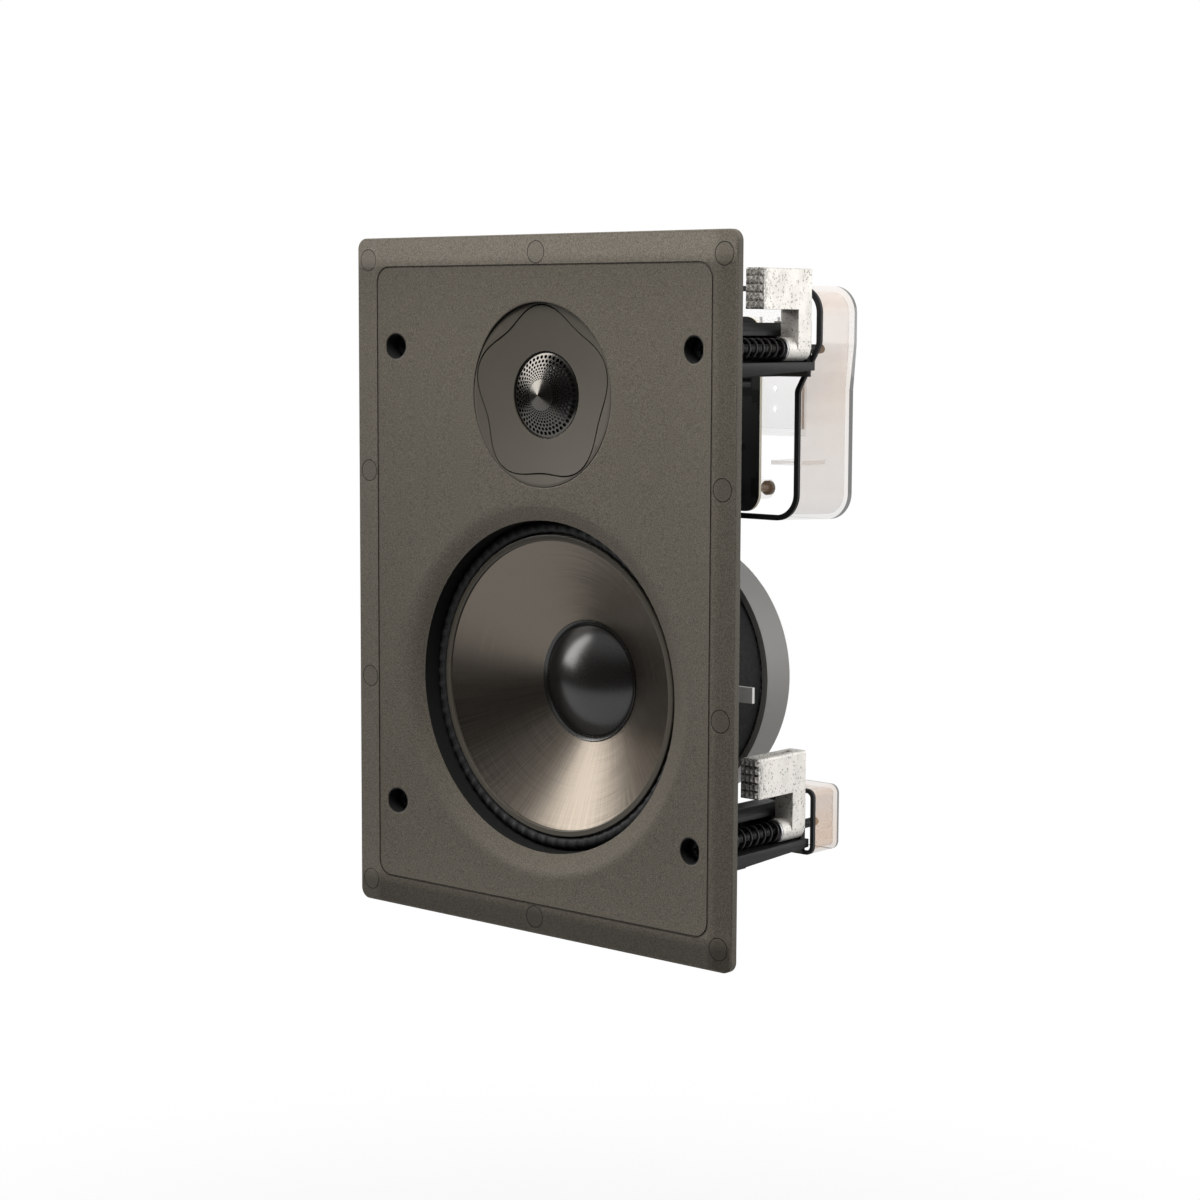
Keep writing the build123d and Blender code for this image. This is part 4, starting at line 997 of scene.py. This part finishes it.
def fill_between(mesh, loops):
    """Fills the face between closed loops, each a row of point numbers."""
    with Edit(mesh) as tool:
        tool.verts.ensure_lookup_table()
        edges = []
        for loop in loops:
            corners = [tool.verts[index] for index in loop]
            edges += [tool.edges.get(pair) for pair in zip(corners, corners[1:] + corners[:1])]
        bmesh.ops.triangle_fill(tool, edges=[edge for edge in edges if edge], use_beauty=True)
        bmesh.ops.recalc_face_normals(tool, faces=tool.faces)


def make_screw(side):
    """Machine screw with a pan head, a cross recess and a cut thread."""
    node = f"clamp_screw_{side}"
    low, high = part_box(node)
    centre = middle_of(node)
    head_front = low.y / MM
    tail = high.y / MM
    head = 4.2
    head_depth = 2.5
    head_dome = 0.9
    head_flat = 0.72
    shank = 2.1
    shank_length = 4.0
    root = 1.72
    pitch = 1.4
    crest_width = 1.25
    point_length = 0.8
    recess_reach = head / 2
    recess_arm = 0.55
    recess_depth = 1.2
    recess_taper = 0.7
    head_back = head_front + head_depth
    thread_start = head_back + shank_length
    around, along = 20, 6
    steps = int((tail - thread_start) / (pitch / along))
    points = []

    def ring(y, radii):
        """Adds a ring of points and gives their numbers."""
        first = len(points)
        for k, radius in enumerate(radii):
            angle = 2 * math.pi * k / around
            points.append((centre.x + radius * math.cos(angle), y, centre.z + radius * math.sin(angle)))
        return range(first, len(points))

    def thread(y, share):
        """Radius of the thread at a depth, at a share of a turn round the screw."""
        phase = ((y - thread_start) / pitch + share) % 1.0
        crest = 1 - abs(2 * phase - 1)
        taper = min(1.0, (tail - y) / point_length)
        return root + (shank - root) * min(1.0, crest * crest_width) * taper

    profile = []
    for degrees in (90, 60, 30, 0):
        angle = math.radians(degrees)
        profile.append((head_front + head_dome * (1 - math.sin(angle)),
                        head * (head_flat + (1 - head_flat) * math.cos(angle))))
    profile += [(head_back, head), (head_back, shank), (thread_start, shank)]
    loops = [ring(y, [radius] * around) for y, radius in profile]
    for i in range(1, steps + 1):
        y = thread_start + (tail - thread_start) * i / steps
        loops.append(ring(y, [thread(y, k / around) for k in range(around)]))

    corners = cross_corners(recess_reach, recess_arm)
    count = len(corners)
    mouth = range(len(points), len(points) + count)
    floor = range(len(points) + count, len(points) + 2 * count)
    points += [(centre.x + x, head_front, centre.z + z) for x, z in corners]
    points += [(centre.x + x * recess_taper, head_front + recess_depth, centre.z + z * recess_taper)
               for x, z in corners]

    faces = bands(loops) + [tuple(loops[-1])] + band(mouth, floor) + [tuple(floor)]
    piece = new_piece(f"threaded_screw_{side}", points, faces)
    fill_between(piece.data, (loops[0], mouth))
    crease(piece, 38.0)
    return stands_for(piece, node)


# Dressing of every node, with the radius of the rounded arrises by the start of a node's name
ROUNDED = {
    "capacitors": 0.6,
    "clamp_arm": 0.35,
    "inductors": 0.5,
    "rear_tub": 0.4,
    "resistors": 0.4,
    "tail_cap": 0.4,
    "terminal_block": 0.3,
    "tweeter_bezel": 0.25,
    "tweeter_waveguide": 0.25,
    "vent_panel": 0.25,
    "woofer_basket": 0.25,
    "woofer_rear_cover": 0.5,
}


def rounding_of(node):
    """Radius of a node's arrises, and 0 for gaskets and nodes that stay crisp."""
    if "gasket" in node:
        return 0.0
    return next((radius for start, radius in ROUNDED.items() if node.startswith(start)), 0.0)


make_cone()
make_trim_ring()
make_dust_cap()
make_surround()
make_spider()
make_lens()
for side in SIDES:
    make_spring(side)
    make_screw(side)

done = {name for piece in bpy.data.objects for name in piece.get("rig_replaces", [])}
for node in frame["nodes"]:
    if node not in done:
        smoothed(node, rounding_of(node))


# Stage: white behind the speaker and below it, a dim room in front, a soft sky above and three lamps
WHITE = 1.0
MIRRORED = 0.78
ROOM_LIGHT = 0.045
ROOM_EDGE = (0.25, 0.65)
SKY_LIGHT = 0.45
SKY_EDGE = (0.3, 0.75)
FLOOR_DROP = 0.25
FLOOR_RADIUS = 6.0
FLOOR_BACK = 4.85
SHADOW_GREY = (0.22, 0.22, 0.22)
SHADOW_SHARE = 0.1
SHADOW_EDGE = (0.2, 0.65)
WARM = (1.0, 0.985, 0.96)


def make_floor():
    """Round white floor below the speaker, which keeps a faint shadow near it."""
    material = bpy.data.materials.new("floor_white")
    material.use_nodes = True
    nodes = Nodes(material.node_tree)
    nodes.tree.nodes.clear()
    x, y, _ = nodes.split(nodes.place())
    away = far(x, y + FLOOR_BACK).between(*SHADOW_EDGE)
    plain = away * SHADOW_SHARE + (1.0 - SHADOW_SHARE)
    lit = nodes.make("ShaderNodeBsdfDiffuse", inputs={"Color": SHADOW_GREY})
    to_camera = nodes.make("ShaderNodeLightPath", output="Is Camera Ray")
    strength = to_camera * (WHITE - MIRRORED) + MIRRORED
    white = nodes.make("ShaderNodeEmission", inputs={"Strength": strength})
    surface = nodes.make("ShaderNodeMixShader", inputs=[nodes.seen() * plain, lit, white])
    nodes.make("ShaderNodeOutputMaterial", inputs=[surface])
    mesh = bpy.data.meshes.new("floor")
    with Edit(mesh) as tool:
        bmesh.ops.create_circle(tool, cap_ends=True, segments=96, radius=FLOOR_RADIUS)
    mesh.materials.append(material)
    floor = bpy.data.objects.new("floor", mesh)
    floor.location = (0, FLOOR_BACK, cad_bounds[0][2] - FLOOR_DROP)
    bpy.context.scene.collection.objects.link(floor)


def make_world():
    """White to the camera and behind the speaker, dim in front of it, and in between above it."""
    world = bpy.data.worlds.new("studio")
    bpy.context.scene.world = world
    world.use_nodes = True
    nodes = Nodes(world.node_tree)
    nodes.tree.nodes.clear()
    to_camera = nodes.make("ShaderNodeLightPath", output="Is Camera Ray")
    _, back, up = nodes.split(nodes.make("ShaderNodeTexCoord", output="Generated"))
    behind = back.between(*ROOM_EDGE) * (WHITE - ROOM_LIGHT)
    above = up.between(*SKY_EDGE) * SKY_LIGHT
    light = to_camera.most(behind.most(above) + ROOM_LIGHT)
    sky = nodes.make("ShaderNodeBackground", inputs={"Color": (1.0, 1.0, 1.0), "Strength": light})
    nodes.make("ShaderNodeOutputWorld", inputs=[sky])


def make_lamp(name, place, aim, size, power, colour=(1, 1, 1), mirrored=True):
    """Soft rectangular lamp, which gloss may show or not."""
    light = bpy.data.lights.new(name, "AREA")
    light.shape = "RECTANGLE"
    light.size, light.size_y = size
    light.energy = power
    light.color = colour
    lamp = bpy.data.objects.new(name, light)
    lamp.location = place
    lamp.rotation_euler = (Vector(aim) - Vector(place)).to_track_quat("-Z", "Y").to_euler()
    lamp.visible_glossy = mirrored
    bpy.context.scene.collection.objects.link(lamp)


def make_camera(place, yaw, pitch, roll, focal_length, sensor_width=36.0):
    """Camera at a place in metres, turned by angles in degrees."""
    yaw = math.radians(yaw)
    pitch = math.radians(pitch)
    roll = math.radians(roll)
    forward = Vector((-math.sin(yaw) * math.cos(pitch), math.cos(yaw) * math.cos(pitch), -math.sin(pitch)))
    level = Vector((math.cos(yaw), math.sin(yaw), 0))
    upward = level.cross(forward)
    right = math.cos(roll) * level + math.sin(roll) * upward
    top = -math.sin(roll) * level + math.cos(roll) * upward
    lens = bpy.data.cameras.new("camera")
    lens.sensor_width = sensor_width
    lens.lens = focal_length
    camera = bpy.data.objects.new("camera", lens)
    camera.matrix_world = Matrix.Translation(place) @ Matrix((right, top, -forward)).transposed().to_4x4()
    bpy.context.scene.collection.objects.link(camera)
    bpy.context.scene.camera = camera


make_floor()
make_world()
make_lamp("key", (-1.42, -0.81, 0.76), (0, 0, 0), (0.9, 1.2), 16.5, WARM)
make_lamp("overhead", (0.1, -0.34, 0.62), (0, 0, 0.05), (0.6, 0.35), 5.9, WARM, mirrored=False)
make_lamp("rim", (1.25, 0.75, 0.35), (0.06, 0.05, 0), (0.8, 1.2), 10.0)
make_camera((0.74464, -0.82319, 0.11431), yaw=40.780, pitch=6.140, roll=0.242, focal_length=76.24)
bpy.context.scene.view_settings.view_transform = "Standard"
